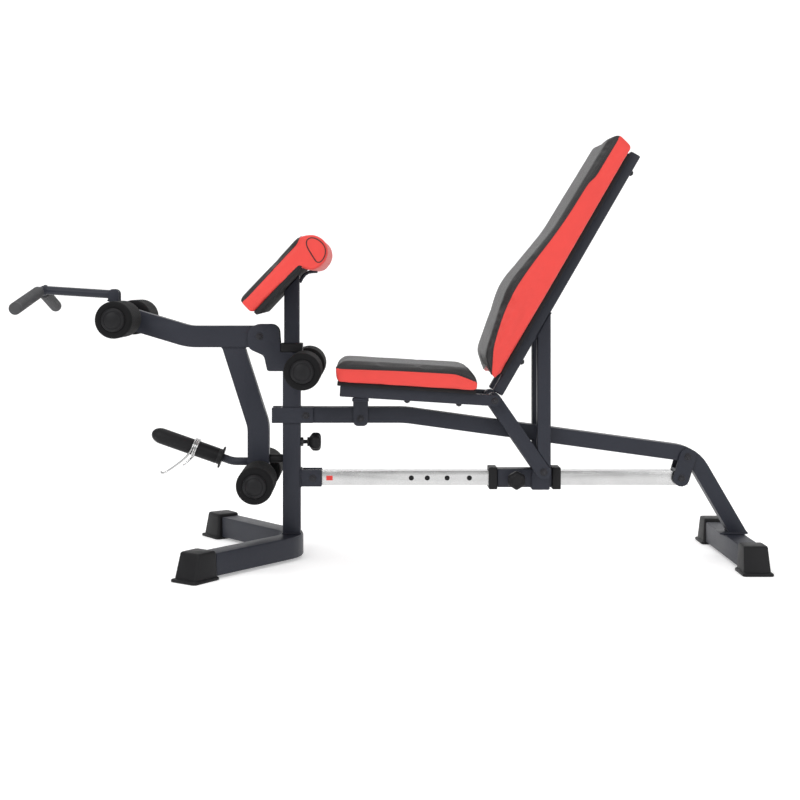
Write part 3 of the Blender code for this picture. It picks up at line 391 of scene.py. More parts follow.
def grip_rubber():
    """Grey grip rubber with a pebbled skin."""
    colour = (0.055, 0.055, 0.058)
    s = Shader("pebbled_grip", colour)
    pebble = s.cells(800.0)
    dust = s.noise(40.0, 4.0)
    s.set(Base_Color=s.shades(dust, colour, 0.75, 1.5), Roughness=0.62 + dust * 0.2,
          Specular_IOR_Level=0.30)
    s.bump(pebble, 0.0003, 0.8)
    return s.material


def board_back():
    """Black felt-backed board under the pads."""
    colour = (0.018, 0.018, 0.019)
    s = Shader("board_back", colour)
    weave = s.noise(1400.0, 3.0, 0.8, s.stretched((0.0, 0.0, 0.7), (1.0, 0.25, 1.0)))
    s.set(Base_Color=s.shades(weave, colour, 0.6, 2.2), Roughness=0.85 + weave * 0.1,
          Specular_IOR_Level=0.10)
    s.bump(weave, 0.00025, 0.7)
    return s.material


def red_label():
    """A small plain printed label."""
    colour = (0.70, 0.03, 0.025)
    s = Shader("plain_label", colour)
    film = s.noise(90.0, 3.0)
    s.set(Base_Color=s.shades(film, colour, 0.9, 1.1), Roughness=0.30 + film * 0.1)
    return s.material


def thread(colour):
    """Twisted sewing thread."""
    s = Shader("seam_thread", colour)
    twist = s.noise(2500.0, 2.0)
    s.set(Base_Color=s.shades(twist, colour, 0.7, 1.3), Roughness=0.6 + twist * 0.2)
    return s.material


# Each shared finish: what makes it, and the slot that its pieces name
FINISHES = {
    "powder_coat": (powder_coat, "powder_coat"),
    "chrome": (chrome, "chrome"),
    "dark_zinc": (zinc, "zinc_steel"),
    "roller_foam": (foam_skin, "foam"),
    "moulded_plastic": (moulded_plastic, "black_plastic"),
    "grip_rubber": (grip_rubber, "grip_rubber"),
    "board_back": (board_back, "pad_board"),
    "plain_label": (red_label, "red_vinyl"),
}
MADE = {}


def material(finish):
    """A shared finish's material, made once."""
    if finish not in MADE:
        MADE[finish] = FINISHES[finish][0]()
    return MADE[finish]


# Mesh building

def piece(name, bm, finish, smooth=35.0):
    """A new object from a bmesh, shaded smooth up to an angle; the finish is a name or a material."""
    bmesh.ops.recalc_face_normals(bm, faces=bm.faces)
    mesh = bpy.data.meshes.new(name)
    bm.to_mesh(mesh)
    bm.free()
    obj = bpy.data.objects.new(name, mesh)
    bpy.context.scene.collection.objects.link(obj)
    mesh.materials.append(material(finish) if isinstance(finish, str) else finish)
    mesh.shade_smooth()
    mesh.set_sharp_from_angle(angle=math.radians(smooth))
    return obj


def fit(obj, body, slot, *nodes):
    """Rides a piece on a body and hides the nodes that it stands for; the slot is not used."""
    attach(obj, body)
    if nodes:
        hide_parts(*nodes)


def finished(name, bm, finish, body, *nodes, smooth=35.0):
    """A new piece in a shared finish, riding a body and standing for nodes."""
    fit(piece(name, bm, finish, smooth), body, FINISHES[finish][1], *nodes)


def bake(obj):
    """Turns an object's modifiers into plain mesh."""
    bpy.context.view_layer.update()
    mesh = bpy.data.meshes.new_from_object(obj.evaluated_get(bpy.context.evaluated_depsgraph_get()))
    obj.modifiers.clear()
    obj.data = mesh


def node_mesh(node):
    """A copy of a node's mesh with its corners merged and its flat faces whole."""
    bm = bmesh.new()
    bm.from_mesh(frame["nodes"][node].data)
    bmesh.ops.remove_doubles(bm, verts=bm.verts, dist=0.00002)
    bmesh.ops.dissolve_limit(bm, angle_limit=math.radians(0.6), verts=bm.verts, edges=bm.edges)
    return bm


def round_edges(bm, edges, radius, segments=3):
    """Rounds some of a bmesh's edges."""
    bmesh.ops.bevel(bm, geom=edges, offset=radius, offset_type="OFFSET", segments=segments, profile=0.5,
                    affect="EDGES", clamp_overlap=True)


def softened(node, finish, radius, corner=35.0, shortest=0.0):
    """A node's shape with its edges rounded, apart from the short ones round small holes."""
    bm = node_mesh(node)
    sharp = [e for e in bm.edges if e.is_manifold and e.calc_face_angle(0.0) > math.radians(corner)
             and e.calc_length() > shortest]
    round_edges(bm, sharp, radius)
    bmesh.ops.remove_doubles(bm, verts=bm.verts, dist=0.00002)
    finished(f"{node}_finished", bm, finish, BODY_OF[node], node)


def divided(obj):
    """Divides an object's faces once, smoothly."""
    divide = obj.modifiers.new("Divide", "SUBSURF")
    divide.levels = 1
    divide.render_levels = 1
    bake(obj)
    obj.data.shade_smooth()


def frame_at(origin, axis, side=None):
    """A matrix with Z along an axis and X towards a side."""
    z = Vector(axis).normalized()
    x = side or (UP if abs(z.z) < 0.9 else REARWARD)
    x = (x - z * x.dot(z)).normalized()
    y = z.cross(x)
    return Matrix.Translation(origin) @ Matrix((x, y, z)).transposed().to_4x4()


def lathe(bm, profile, place, steps, ring=False, swell=None):
    """A turned shape from (radius, height) points; swell(angle, height) scales its radius."""
    rows = []
    for radius, height in profile:
        if radius <= 0.0:
            rows.append([bm.verts.new(place @ Vector((0.0, 0.0, height)))])
            continue
        row = []
        for i in range(steps):
            angle = 2.0 * math.pi * i / steps
            r = radius * (swell(angle, height) if swell else 1.0)
            row.append(bm.verts.new(place @ Vector((r * math.cos(angle), r * math.sin(angle), height))))
        rows.append(row)
    pairs = list(zip(rows, rows[1:]))
    if ring:
        pairs.append((rows[-1], rows[0]))
    for first, second in pairs:
        for i in range(steps):
            j = (i + 1) % steps
            corners = [first[i % len(first)], first[j % len(first)],
                       second[j % len(second)], second[i % len(second)]]
            unique = list(dict.fromkeys(corners))
            if len(unique) > 2:
                bm.faces.new(unique)


def turned(name, profile, place, steps, finish, body, *nodes, smooth=35.0, ring=False, swell=None):
    """A finished piece that is one turned shape."""
    bm = bmesh.new()
    lathe(bm, profile, place, steps, ring, swell)
    finished(name, bm, finish, body, *nodes, smooth=smooth)


def sweep(bm, points, radius, sides, closed=False):
    """A round bead along points."""
    count = len(points)
    rings = []
    normal = None
    for i, point in enumerate(points):
        before = points[i - 1] if closed or i > 0 else point
        after = points[(i + 1) % count] if closed or i < count - 1 else point
        tangent = (after - before).normalized()
        if normal is None:
            normal = tangent.orthogonal()
        normal = (normal - tangent * normal.dot(tangent)).normalized()
        across = tangent.cross(normal)
        ring = []
        for k in range(sides):
            angle = 2.0 * math.pi * k / sides
            spoke = normal * math.cos(angle) + across * math.sin(angle)
            ring.append(bm.verts.new(point + spoke * radius))
        rings.append(ring)
    for first, second in zip(rings, rings[1:]):
        for k in range(sides):
            n = (k + 1) % sides
            bm.faces.new((first[k], first[n], second[n], second[k]))
    if closed:
        first, second = rings[-1], rings[0]
        shift = min(range(sides), key=lambda s: (first[0].co - second[s].co).length)
        for k in range(sides):
            n = (k + 1) % sides
            bm.faces.new((first[k], first[n], second[(n + shift) % sides], second[(k + shift) % sides]))
    else:
        bm.faces.new(rings[0][::-1])
        bm.faces.new(rings[-1])


def block(bm, place, dimensions, edge, segments):
    """A box with rounded edges, placed by a matrix."""
    part = bmesh.new()
    bmesh.ops.create_cube(part, size=1.0)
    bmesh.ops.scale(part, vec=dimensions, verts=part.verts)
    round_edges(part, part.edges[:], edge, segments)
    bmesh.ops.transform(part, matrix=place, verts=part.verts)
    mesh = bpy.data.meshes.new("block")
    part.to_mesh(mesh)
    part.free()
    bm.from_mesh(mesh)
    bpy.data.meshes.remove(mesh)


def blocks(name, places, dimensions, edge, finish, body, segments=3):
    """A finished piece of equal boxes with rounded edges."""
    bm = bmesh.new()
    for place in places:
        block(bm, place, dimensions, edge, segments)
    finished(name, bm, finish, body)


# Geometry node trees for what repeats

class Tree:
    """Builds one geometry node tree with named inputs."""

    def __init__(self, name, inputs):
        self.group = bpy.data.node_groups.new(name, "GeometryNodeTree")
        face = self.group.interface
        face.new_socket("Geometry", in_out="INPUT", socket_type="NodeSocketGeometry")
        for label, kind in inputs.items():
            face.new_socket(label, in_out="INPUT", socket_type=kind)
        face.new_socket("Geometry", in_out="OUTPUT", socket_type="NodeSocketGeometry")
        self.given = self.group.nodes.new("NodeGroupInput").outputs
        self.result = self.group.nodes.new("NodeGroupOutput").inputs[0]

    def node(self, kind, options, inputs, output=0):
        """A node's output, with its settings set first and then its sockets."""
        made = self.group.nodes.new(kind)
        for option, value in options.items():
            setattr(made, option, value)
        for socket, value in inputs.items():
            values = value if isinstance(value, list) else [value]
            for item in values:
                if isinstance(item, bpy.types.NodeSocket):
                    self.group.links.new(item, made.inputs[socket])
                else:
                    made.inputs[socket].default_value = item
        return made.outputs[output]

    def finish(self, geometry):
        """Ends the tree with real geometry in the given material."""
        real = self.node("GeometryNodeRealizeInstances", {}, {0: geometry})
        done = self.node("GeometryNodeSetMaterial", {}, {"Geometry": real,
                                                        "Material": self.given["Material"]})
        self.group.links.new(done, self.result)
        return self.group


def fastener_tree():
    """Washer, hexagon head and chamfer at each vertex, turned along its facing attribute."""
    tree = Tree("hexagon_fasteners", {"Head radius": "NodeSocketFloat", "Material": "NodeSocketMaterial"})
    radius = tree.given["Head radius"]

    def share(factor):
        """A part of the head's radius."""
        return tree.node("ShaderNodeMath", {"operation": "MULTIPLY"}, {0: radius, 1: factor})

    def disc(sides, base, top, low_end, depth):
        """A slice of the fastener, in shares of the head's radius."""
        cone = tree.node("GeometryNodeMeshCone", {"fill_type": "NGON"},
                         {"Vertices": sides, "Radius Top": share(top), "Radius Bottom": share(base),
                          "Depth": share(depth)})
        rise = tree.node("ShaderNodeCombineXYZ", {}, {2: share(low_end)})
        return tree.node("GeometryNodeTransform", {}, {"Geometry": cone, "Translation": rise})

    shapes = [disc(28, 1.38, 1.32, 0.0, 0.16), disc(6, 1.0, 1.0, 0.16, 0.50),
              disc(6, 1.0, 0.84, 0.66, 0.12), disc(16, 0.50, 0.50, 0.78, 0.16),
              disc(16, 0.50, 0.36, 0.94, 0.10)]
    bolt = tree.node("GeometryNodeJoinGeometry", {}, {0: shapes})
    facing = tree.node("GeometryNodeInputNamedAttribute", {"data_type": "FLOAT_VECTOR"}, {0: "facing"})
    turn = tree.node("FunctionNodeAlignRotationToVector", {"axis": "Z"}, {"Vector": facing})
    points = tree.node("GeometryNodeMeshToPoints", {}, {0: tree.given["Geometry"]})
    placed = tree.node("GeometryNodeInstanceOnPoints", {}, {"Points": points, "Instance": bolt,
                                                           "Rotation": turn})
    return tree.finish(placed)


def bead_tree():
    """Small rounded beads along an edge line: stitches, or the ripples of a weld."""
    tree = Tree("beads_on_line", {"Spacing": "NodeSocketFloat", "Bead": "NodeSocketVector",
                                  "Material": "NodeSocketMaterial"})
    line = tree.node("GeometryNodeMeshToCurve", {}, {0: tree.given["Geometry"]})
    even = tree.node("GeometryNodeResampleCurve", {"mode": "LENGTH"},
                     {"Curve": line, "Length": tree.given["Spacing"]})
    tangent = tree.node("GeometryNodeInputTangent", {}, {})
    turn = tree.node("FunctionNodeAlignRotationToVector", {"axis": "X"}, {"Vector": tangent})
    ball = tree.node("GeometryNodeMeshUVSphere", {}, {"Segments": 8, "Rings": 6, "Radius": 1.0})
    placed = tree.node("GeometryNodeInstanceOnPoints", {},
                       {"Points": even, "Instance": ball, "Rotation": turn, "Scale": tree.given["Bead"]})
    return tree.finish(placed)


def node_group(name, maker):
    """A tree, made once."""
    return bpy.data.node_groups.get(name) or maker()


def grown(name, mesh, group, values, material_value):
    """An object whose mesh a tree turns into real geometry."""
    obj = bpy.data.objects.new(name, mesh)
    bpy.context.scene.collection.objects.link(obj)
    modifier = obj.modifiers.new("Grow", "NODES")
    modifier.node_group = group
    values = dict(values, Material=material_value)
    for item in group.interface.items_tree:
        if item.item_type == "SOCKET" and item.in_out == "INPUT" and item.name in values:
            modifier[item.identifier] = values[item.name]
    bake(obj)
    obj.data.shade_smooth()
    obj.data.set_sharp_from_angle(angle=math.radians(30.0))
    return obj


def fasteners(name, body, places, radius, nodes, shanks):
    """Hexagon bolts at (point, facing) places, with shanks between pairs of points."""
    mesh = bpy.data.meshes.new(name)
    mesh.from_pydata([tuple(point) for point, _ in places], [], [])
    facing = mesh.attributes.new("facing", "FLOAT_VECTOR", "POINT")
    for item, (_, direction) in zip(facing.data, places):
        item.vector = direction
    group = node_group("hexagon_fasteners", fastener_tree)
    obj = grown(name, mesh, group, {"Head radius": radius}, material("dark_zinc"))
    bm = bmesh.new()
    bm.from_mesh(obj.data)
    bmesh.ops.remove_doubles(bm, verts=bm.verts, dist=0.000001)
    for start, end in shanks:
        sweep(bm, [start, end], radius * 0.55, 16)
    bm.to_mesh(obj.data)
    bm.free()
    fit(obj, body, "zinc_steel", *nodes)


def beads(name, body, lines, spacing, bead, material_value, slot):
    """Beads along closed lines of points."""
    verts, edges = [], []
    for points in lines:
        start = len(verts)
        verts += [tuple(p) for p in points]
        edges += [(start + i, start + i + 1) for i in range(len(points) - 1)]
        edges.append((len(verts) - 1, start))
    mesh = bpy.data.meshes.new(name)
    mesh.from_pydata(verts, edges, [])
    group = node_group("beads_on_line", bead_tree)
    obj = grown(name, mesh, group, {"Spacing": spacing, "Bead": bead}, material_value)
    fit(obj, body, slot)


# Padded covers

class PadShape:
    """A pad's own directions, its seam line and the height of its flat underside, if it has one."""

    def __init__(self, node, origin, along, up, seam, base):
        self.node = node
        self.origin = origin
        self.along = along
        self.up = up
        self.seam = seam
        self.base = base

    def seam_height(self, along):
        """Height of the seam at a place along the pad, straight between its points."""
        height = self.seam[0][1]
        for (a, b), (c, d) in zip(self.seam, self.seam[1:]):
            height += (d - b) * min(1.0, max(0.0, (along - a) / (c - a)))
        return height

    def field(self, point):
        """Above 0 on the top panel."""
        offset = point - self.origin
        return offset.dot(self.up) - self.seam_height(offset.dot(self.along))

    def shader_field(self, shader):
        """The same field as shader maths."""
        def reading(direction):
            dot = shader.number("ShaderNodeVectorMath", {"operation": "DOT_PRODUCT"},
                                {0: shader.place, 1: direction}, "Value")
            return dot - self.origin.dot(direction)
        along = reading(self.along)
        height = self.seam[0][1]
        for (a, b), (c, d) in zip(self.seam, self.seam[1:]):
            height = height + shader.number("ShaderNodeMapRange", {"clamp": True},
                                            {0: along, 1: a, 2: c, 3: 0.0, 4: d - b})
        return reading(self.up) - height


def pad_shapes():
    """The three pads, with their seams as (along, up) points."""
    roll_radius = 0.0384
    roll = Vector((high("preacher_pad").x - roll_radius, 0.0, high("preacher_pad").z - roll_radius))
    seat = [(0.034, 0.031), (0.054, 0.046), (0.095, 0.0585), (0.226, 0.0575), (0.372, 0.0535)]
    back = [(0.034, 0.027), (0.058, 0.046), (0.100, 0.067), (0.130, 0.0755), (0.170, 0.0840),
            (0.200, 0.0885), (0.245, 0.0920), (0.290, 0.0890), (0.330, 0.0843), (0.370, 0.0787),
            (0.410, 0.0740), (0.450, 0.0710), (0.500, 0.0692), (0.535, 0.0680), (0.552, 0.0610),
            (0.668, 0.0590)]
    arm = [(-0.200, 0.0352), (-0.010, 0.0352), (0.004, 0.0400), (0.060, 0.0460)]
    board = 0.0232
    return (
        PadShape("seat_pad", BACK_PIVOT, SEAT_ALONG, SEAT_UP, seat, board),
        PadShape("back_pad", BACK_PIVOT, BACK_ALONG, BACK_UP, back, board),
        PadShape("preacher_pad", roll, ARM_ALONG, ARM_UP, arm, None),
    )


def filled_cover(shape):
    """The pad's cover, blown up from a slightly smaller remeshed solid."""
    group = settings("bench_pads")
    bm = node_mesh(shape.node)
    centre = middle(shape.node)
    half_width = size(shape.node).y / 2.0
    side_shrink = group.swell * 0.35
    face_shrink = side_shrink * 0.55
    for vert in bm.verts:
        vert.co.y *= 1.0 - side_shrink / half_width
        offset = vert.co - centre
        flat = Vector((offset.x, 0.0, offset.z))
        vert.co -= flat * (face_shrink / max(flat.length, 0.02))
    obj = piece(f"{shape.node}_cover", bm, two_tone_vinyl(f"{shape.node}_vinyl", shape.shader_field), 180.0)
    remesh = obj.modifiers.new("Remesh", "REMESH")
    remesh.mode = "VOXEL"
    remesh.voxel_size = group.voxel
    bake(obj)
    smooth = obj.modifiers.new("Relax", "SMOOTH")
    smooth.factor = 0.5
    smooth.iterations = 4
    bake(obj)
    start = [v.co.copy() for v in obj.data.vertices]
    fill_with_cloth(obj, group.pressure)
    for vert, rest in zip(obj.data.vertices, start):
        move = vert.co - rest
        if move.length > group.swell:
            vert.co = rest + move * (group.swell / move.length)
        if shape.base is not None:
            drop = (vert.co - shape.origin).dot(shape.up) - shape.base
            if drop < 0.0:
                vert.co -= shape.up * drop
    divided(obj)
    return obj


def fill_with_cloth(obj, pressure):
    """Cloth with inner pressure and no gravity, kept as a plain mesh."""
    frames = 20
    cloth = obj.modifiers.new("Fill", "CLOTH")
    cloth.settings.quality = 5
    cloth.settings.mass = 0.3
    cloth.settings.tension_stiffness = 12.0
    cloth.settings.compression_stiffness = 12.0
    cloth.settings.shear_stiffness = 6.0
    cloth.settings.bending_stiffness = 0.6
    cloth.settings.use_pressure = True
    cloth.settings.uniform_pressure_force = pressure
    cloth.settings.effector_weights.gravity = 0.0
    cloth.point_cache.frame_start = 1
    cloth.point_cache.frame_end = frames
    for step in range(1, frames + 1):
        bpy.context.scene.frame_set(step)
    bake(obj)
    bpy.context.scene.frame_set(1)


def seam_loops(obj, field):
    """Closed lines of (point, normal) where a field crosses 0 on a mesh."""
    mesh = obj.data
    values = [field(v.co) for v in mesh.vertices]
    crossing = {}
    links = {}
    for face in mesh.polygons:
        cuts = []
        for a, b in face.edge_keys:
            if (values[a] > 0.0) != (values[b] > 0.0):
                key = (a, b)
                if key not in crossing:
                    t = values[a] / (values[a] - values[b])
                    first, second = mesh.vertices[a], mesh.vertices[b]
                    crossing[key] = (first.co.lerp(second.co, t), first.normal.lerp(second.normal, t))
                cuts.append(key)
        if len(cuts) == 2:
            links.setdefault(cuts[0], []).append(cuts[1])
            links.setdefault(cuts[1], []).append(cuts[0])
    loops = []
    seen = set()
    for start in links:
        if start in seen:
            continue
        loop = [start]
        seen.add(start)
        while True:
            ahead = [key for key in links[loop[-1]] if key not in seen]
            if not ahead:
                break
            loop.append(ahead[0])
            seen.add(ahead[0])
        if len(loop) > 40:
            loops.append([crossing[key] for key in loop])
    return loops


def even_line(points, spacing):
    """A closed line with even steps, smoothed a little."""
    lengths = [(points[(i + 1) % len(points)] - p).length for i, p in enumerate(points)]
    total = sum(lengths)
    count = max(12, int(total / spacing))
    made = []
    index, walked = 0, 0.0
    for i in range(count):
        target = total * i / count
        while walked + lengths[index] < target:
            walked += lengths[index]
            index += 1
        t = (target - walked) / max(lengths[index], 1e-9)
        made.append(points[index].lerp(points[(index + 1) % len(points)], t))
    for _ in range(3):
        made = [(made[i - 1] + made[i] * 2.0 + made[(i + 1) % count]) / 4.0 for i in range(count)]
    return made


def seam_lines(obj, field, lift, spacing):
    """Even closed lines just off a mesh, where a field crosses 0."""
    return [even_line([point + normal.normalized() * lift for point, normal in loop], spacing)
            for loop in seam_loops(obj, field)]


def sew(obj, shape, body):
    """Piping along the seams, and a row of stitches beside the main one on the top panel."""
    group = settings("bench_pads")
    black = tuple(group.black)
    fields = [shape.field]
    if shape.base is None:
        end_seam = size(shape.node).y / 2.0 - 0.0045
        fields.append(lambda point: abs(point.y) - end_seam)
    bm = bmesh.new()
    for field in fields:
        for line in seam_lines(obj, field, 0.0002, 0.006):
            sweep(bm, line, group.piping, 8, closed=True)
    vinyl = plain_vinyl(f"{shape.node}_piping_vinyl", black)
    fit(piece(f"{shape.node}_piping", bm, vinyl), body, "red_vinyl")
    stitch_margin = 0.0055
    rows = seam_lines(obj, lambda point: shape.field(point) - stitch_margin, 0.0001, 0.004)
    bead = (group.stitch * 0.42, 0.00045, 0.00045)
    beads(f"{shape.node}_stitches", body, rows, group.stitch * 1.25, bead, thread(scaled(black, 2.5)),
          "red_vinyl")


# Nodes that are made alike

TUBES = ("front_foot_tube", "rear_foot_tube", "upright_post", "main_beam", "lever_arm", "lever_leg",
         "preacher_post", "seat_rail_near", "seat_rail_far", "back_rail_near", "back_rail_far",
         "back_post_near", "back_post_far", "carriage_sleeve")
PLATES = ("lever_hanger", "beam_bracket", "rail_front_bracket", "rail_rear_bracket",
          "seat_front_bracket", "back_link_near", "back_link_far", "carriage_bracket", "curl_bracket")
BOARDS = ("seat_board", "back_board", "preacher_board")
BUSHINGS = ("post_collar", "carriage_bushing_front", "carriage_bushing_rear")
ROLLERS = [f"{row}_roller_{side}" for row in ("upright", "top", "low") for side, _ in SIDES]
AXLES = ("upright_axle", "lever_top_axle", "lever_low_axle")


def section(node, point, normal):
    """The longest closed outline where a plane cuts a node, in the same order each time."""
    bm = node_mesh(node)
    bmesh.ops.bisect_plane(bm, geom=bm.verts[:] + bm.edges[:] + bm.faces[:], plane_co=point,
                           plane_no=normal, clear_outer=True, clear_inner=True)
    bmesh.ops.remove_doubles(bm, verts=bm.verts, dist=0.00005)
    found = []
    left = dict.fromkeys(bm.verts)
    while left:
        chain = [next(iter(left))]
        del left[chain[0]]
        while True:
            ahead = [e.other_vert(chain[-1]) for e in chain[-1].link_edges]
            ahead = [v for v in ahead if v in left]
            if not ahead:
                break
            del left[ahead[0]]
            chain.append(ahead[0])
        found.append([v.co.copy() for v in chain])
    bm.free()
    if not found:
        raise RuntimeError(f"the plane at {tuple(point)} misses {node}")
    return max(found, key=lambda line: sum((a - b).length for a, b in zip(line, line[1:])))


# Operators, one for each group of pieces

class BENCH_OT_make_pads(bpy.types.Operator):
    """Fills, sews and pipes the seat, backrest and preacher pads"""
    bl_idname = "bench.make_pads"
    bl_label = "Make pads"

    def execute(self, context):
        for shape in pad_shapes():
            body = BODY_OF[shape.node]
            cover = filled_cover(shape)
            fit(cover, body, "red_vinyl", shape.node)
            sew(cover, shape, body)
        return {"FINISHED"}


class BENCH_OT_make_tubes(bpy.types.Operator):
    """Rounds the corners of the painted tubes and the chrome rail"""
    bl_idname = "bench.make_tubes"
    bl_label = "Make tubes"

    def execute(self, context):
        corner = settings("bench_frame").tube_edge
        shortest = 0.0065
        for node in TUBES:
            softened(node, "powder_coat", corner, shortest=shortest)
        softened("slide_rail", "chrome", corner * 0.6, shortest=shortest)
        return {"FINISHED"}


class BENCH_OT_make_plates(bpy.types.Operator):
    """Rounds the edges of the welded plates and brackets"""
    bl_idname = "bench.make_plates"
    bl_label = "Make plates"

    def execute(self, context):
        for node in PLATES:
            softened(node, "powder_coat", settings("bench_frame").plate_edge)
        foot = Vector((middle("rear_foot_tube").x - 0.004, 0.0, high("rear_foot_tube").z + 0.0018))
        blocks("rear_foot_plate", [Matrix.Translation(foot)], (0.060, 0.052, 0.0036), 0.0012,
               "powder_coat", "frame")
        bm = bmesh.new()
        bent = [at(0.0180, 0.0, 0.644), at(0.0240, 0.0, 0.655), at(0.0310, 0.0, 0.6635),
                at(0.0390, 0.0, 0.6680), at(0.0480, 0.0, 0.6695), at(0.0600, 0.0, 0.6700)]
        sweep(bm, bent, 0.0040, 24)
        finished("preacher_strut", bm, "powder_coat", "preacher")
        return {"FINISHED"}


class BENCH_OT_make_boards(bpy.types.Operator):
    """Covers the backs of the pads' boards"""
    bl_idname = "bench.make_boards"
    bl_label = "Make pad boards"

    def execute(self, context):
        for node in BOARDS:
            softened(node, "board_back", 0.0025)
        return {"FINISHED"}


class BENCH_OT_make_welds(bpy.types.Operator):
    """Lays rippled weld beads where tubes and plates meet"""
    bl_idname = "bench.make_welds"
    bl_label = "Make welds"

    def execute(self, context):
        bead = settings("bench_frame").bead
        skin = 0.0009
        post_foot = Vector((POST_X, 0.0, low("upright_post").z + skin))
        beam_foot = UP * (high("rear_foot_tube").z + 0.0040)
        leg_top = UP * (high("lever_leg").z - skin)
        curl_foot = Vector((middle("curl_bracket").x, 0.0, low("curl_bracket").z + 0.0048))
        rail_end = REARWARD * (low("rail_front_bracket").x + skin)
        bracket_side = SIDEWAYS * (size("seat_front_bracket").y / 2.0 - skin)
        cuts = {
            "frame": [("upright_post", post_foot, UP), ("main_beam", beam_foot, UP),
                      ("rail_front_bracket", rail_end, REARWARD)],
            "lever": [("lever_leg", leg_top, UP), ("curl_bracket", curl_foot, Vector((0.3, 0.0, 1.0)))],
            "backrest": [(f"back_post_{side}", back_at(0.0, 0.0, -0.0137), BACK_UP) for side, _ in SIDES],
            "seat": [("seat_front_bracket", bracket_side * sign, SIDEWAYS) for _, sign in SIDES],
        }
        for body, places in cuts.items():
            beads(f"{body}_welds", body, [section(*place) for place in places], bead * 0.85,
                  (bead * 0.75, bead, bead), material("powder_coat"), "powder_coat")
        return {"FINISHED"}


class BENCH_OT_make_fasteners(bpy.types.Operator):
    """Sets the pivot bolts and the bolts that hold brackets and pads"""
    bl_idname = "bench.make_fasteners"
    bl_label = "Make fasteners"

    head_depth = 0.0055

    def pivot_bolts(self, *nodes):
        """Both heads and the shank of each through bolt."""
        heads, shanks = [], []
        for node in nodes:
            reach = size(node).y / 2.0 - self.head_depth
            ends = [middle(node) + SIDEWAYS * (sign * reach) for _, sign in SIDES]
            heads += [(end, SIDEWAYS * sign) for end, (_, sign) in zip(ends, SIDES)]
            shanks.append(ends)
        return heads, shanks

    def execute(self, context):
        radius = settings("bench_frame").bolt_radius
        plate, rail = high("beam_bracket").y, middle("slide_rail").z
        rear = at(0.9095, 0.0, 0.0).x
        heads, shanks = self.pivot_bolts("lever_pivot_bolt")
        for x, y, z in ((POST_X + 0.034, plate, middle("beam_bracket").z), (rear, plate, rail),
                        (rear + 0.015, plate, high("rail_rear_bracket").z - 0.019),
                        (POST_X - 0.004, plate, high("upright_post").z - 0.028),
                        (middle("rail_front_bracket").x + 0.004, high("rail_front_bracket").y, rail)):
            heads += [(Vector((x, sign * y, z)), SIDEWAYS * sign) for _, sign in SIDES]
        fasteners("frame_bolts", "frame", heads, radius, ("lever_pivot_bolt",), shanks)

        under_board = -0.0125
        nodes = ("seat_pivot_bolt", "back_pivot_bolt")
        heads, shanks = self.pivot_bolts(*nodes)
        for along in (0.081, 0.200):
            heads += [(seat_at(along, sign * SEAT_RAIL_Y, under_board), -SEAT_UP) for _, sign in SIDES]
        fasteners("seat_bolts", "seat", heads, radius, nodes, shanks)

        heads, shanks = [], []
        for side, sign in SIDES:
            node = f"link_bolt_{side}"
            point = middle(node)
            inner, outer = sorted((abs(low(node).y), abs(high(node).y)))
            ends = [Vector((point.x, sign * y, point.z)) for y in (inner, outer - self.head_depth)]
            heads.append((ends[1], SIDEWAYS * sign))
            shanks.append(ends)
            heads += [(back_at(along, sign * BACK_RAIL_Y, under_board), -BACK_UP) for along in (0.108, 0.612)]
        fasteners("backrest_bolts", "backrest", heads, radius, ("link_bolt_near", "link_bolt_far"), shanks)
        return {"FINISHED"}


class BENCH_OT_make_rollers(bpy.types.Operator):
    """Turns the foam rollers with rounded lips"""
    bl_idname = "bench.make_rollers"
    bl_label = "Make foam rollers"

    def execute(self, context):
        bore, lip = 0.0128, 0.0095
        for node in ROLLERS:
            radius, half = size(node).x / 2.0, size(node).y / 2.0
            end = [(bore, half - 0.003), (bore + 0.006, half - 0.0012)]
            end += [(radius - lip + lip * math.sin(turn), half - lip + lip * math.cos(turn))
                    for turn in quarter(8)]
            side = [(radius, height) for height in (half * 0.5, 0.0, -half * 0.5)]
            outline = end + side + [(r, -height) for r, height in reversed(end)]
            turned(f"{node}_foam", outline, frame_at(middle(node), SIDEWAYS), 96, "roller_foam",
                   BODY_OF[node], node, smooth=50.0, ring=True)
        return {"FINISHED"}


class BENCH_OT_make_axles(bpy.types.Operator):
    """Turns the roller axles and their domed end caps"""
    bl_idname = "bench.make_axles"
    bl_label = "Make axles"

    def execute(self, context):
        bar = 0.0124
        for node in AXLES:
            centre, radius = middle(node), size(node).x / 2.0
            face = size(node).y / 2.0 - 0.0110
            dome = [(0.0, 0.0), (0.0125, 0.0), (radius - 0.0006, 0.0), (radius, 0.0007),
                    (radius - 0.0004, 0.0024), (radius * 0.92, 0.0046), (radius * 0.80, 0.0066),
                    (radius * 0.745, 0.0072), (radius * 0.725, 0.0066), (radius * 0.70, 0.0076),
                    (radius * 0.50, 0.0096), (radius * 0.25, 0.0106), (0.0, 0.0110)]
            bm = bmesh.new()
            for _, sign in SIDES:
                lathe(bm, [(r, face + rise) for r, rise in dome], frame_at(centre, SIDEWAYS * sign), 64)
            finished(f"{node}_caps", bm, "moulded_plastic", BODY_OF[node], node, smooth=40.0)
            turned(f"{node}_bar", [(0.0, -face), (bar, -face), (bar, face), (0.0, face)],
                   frame_at(centre, SIDEWAYS), 48, "powder_coat", BODY_OF[node])
        return {"FINISHED"}


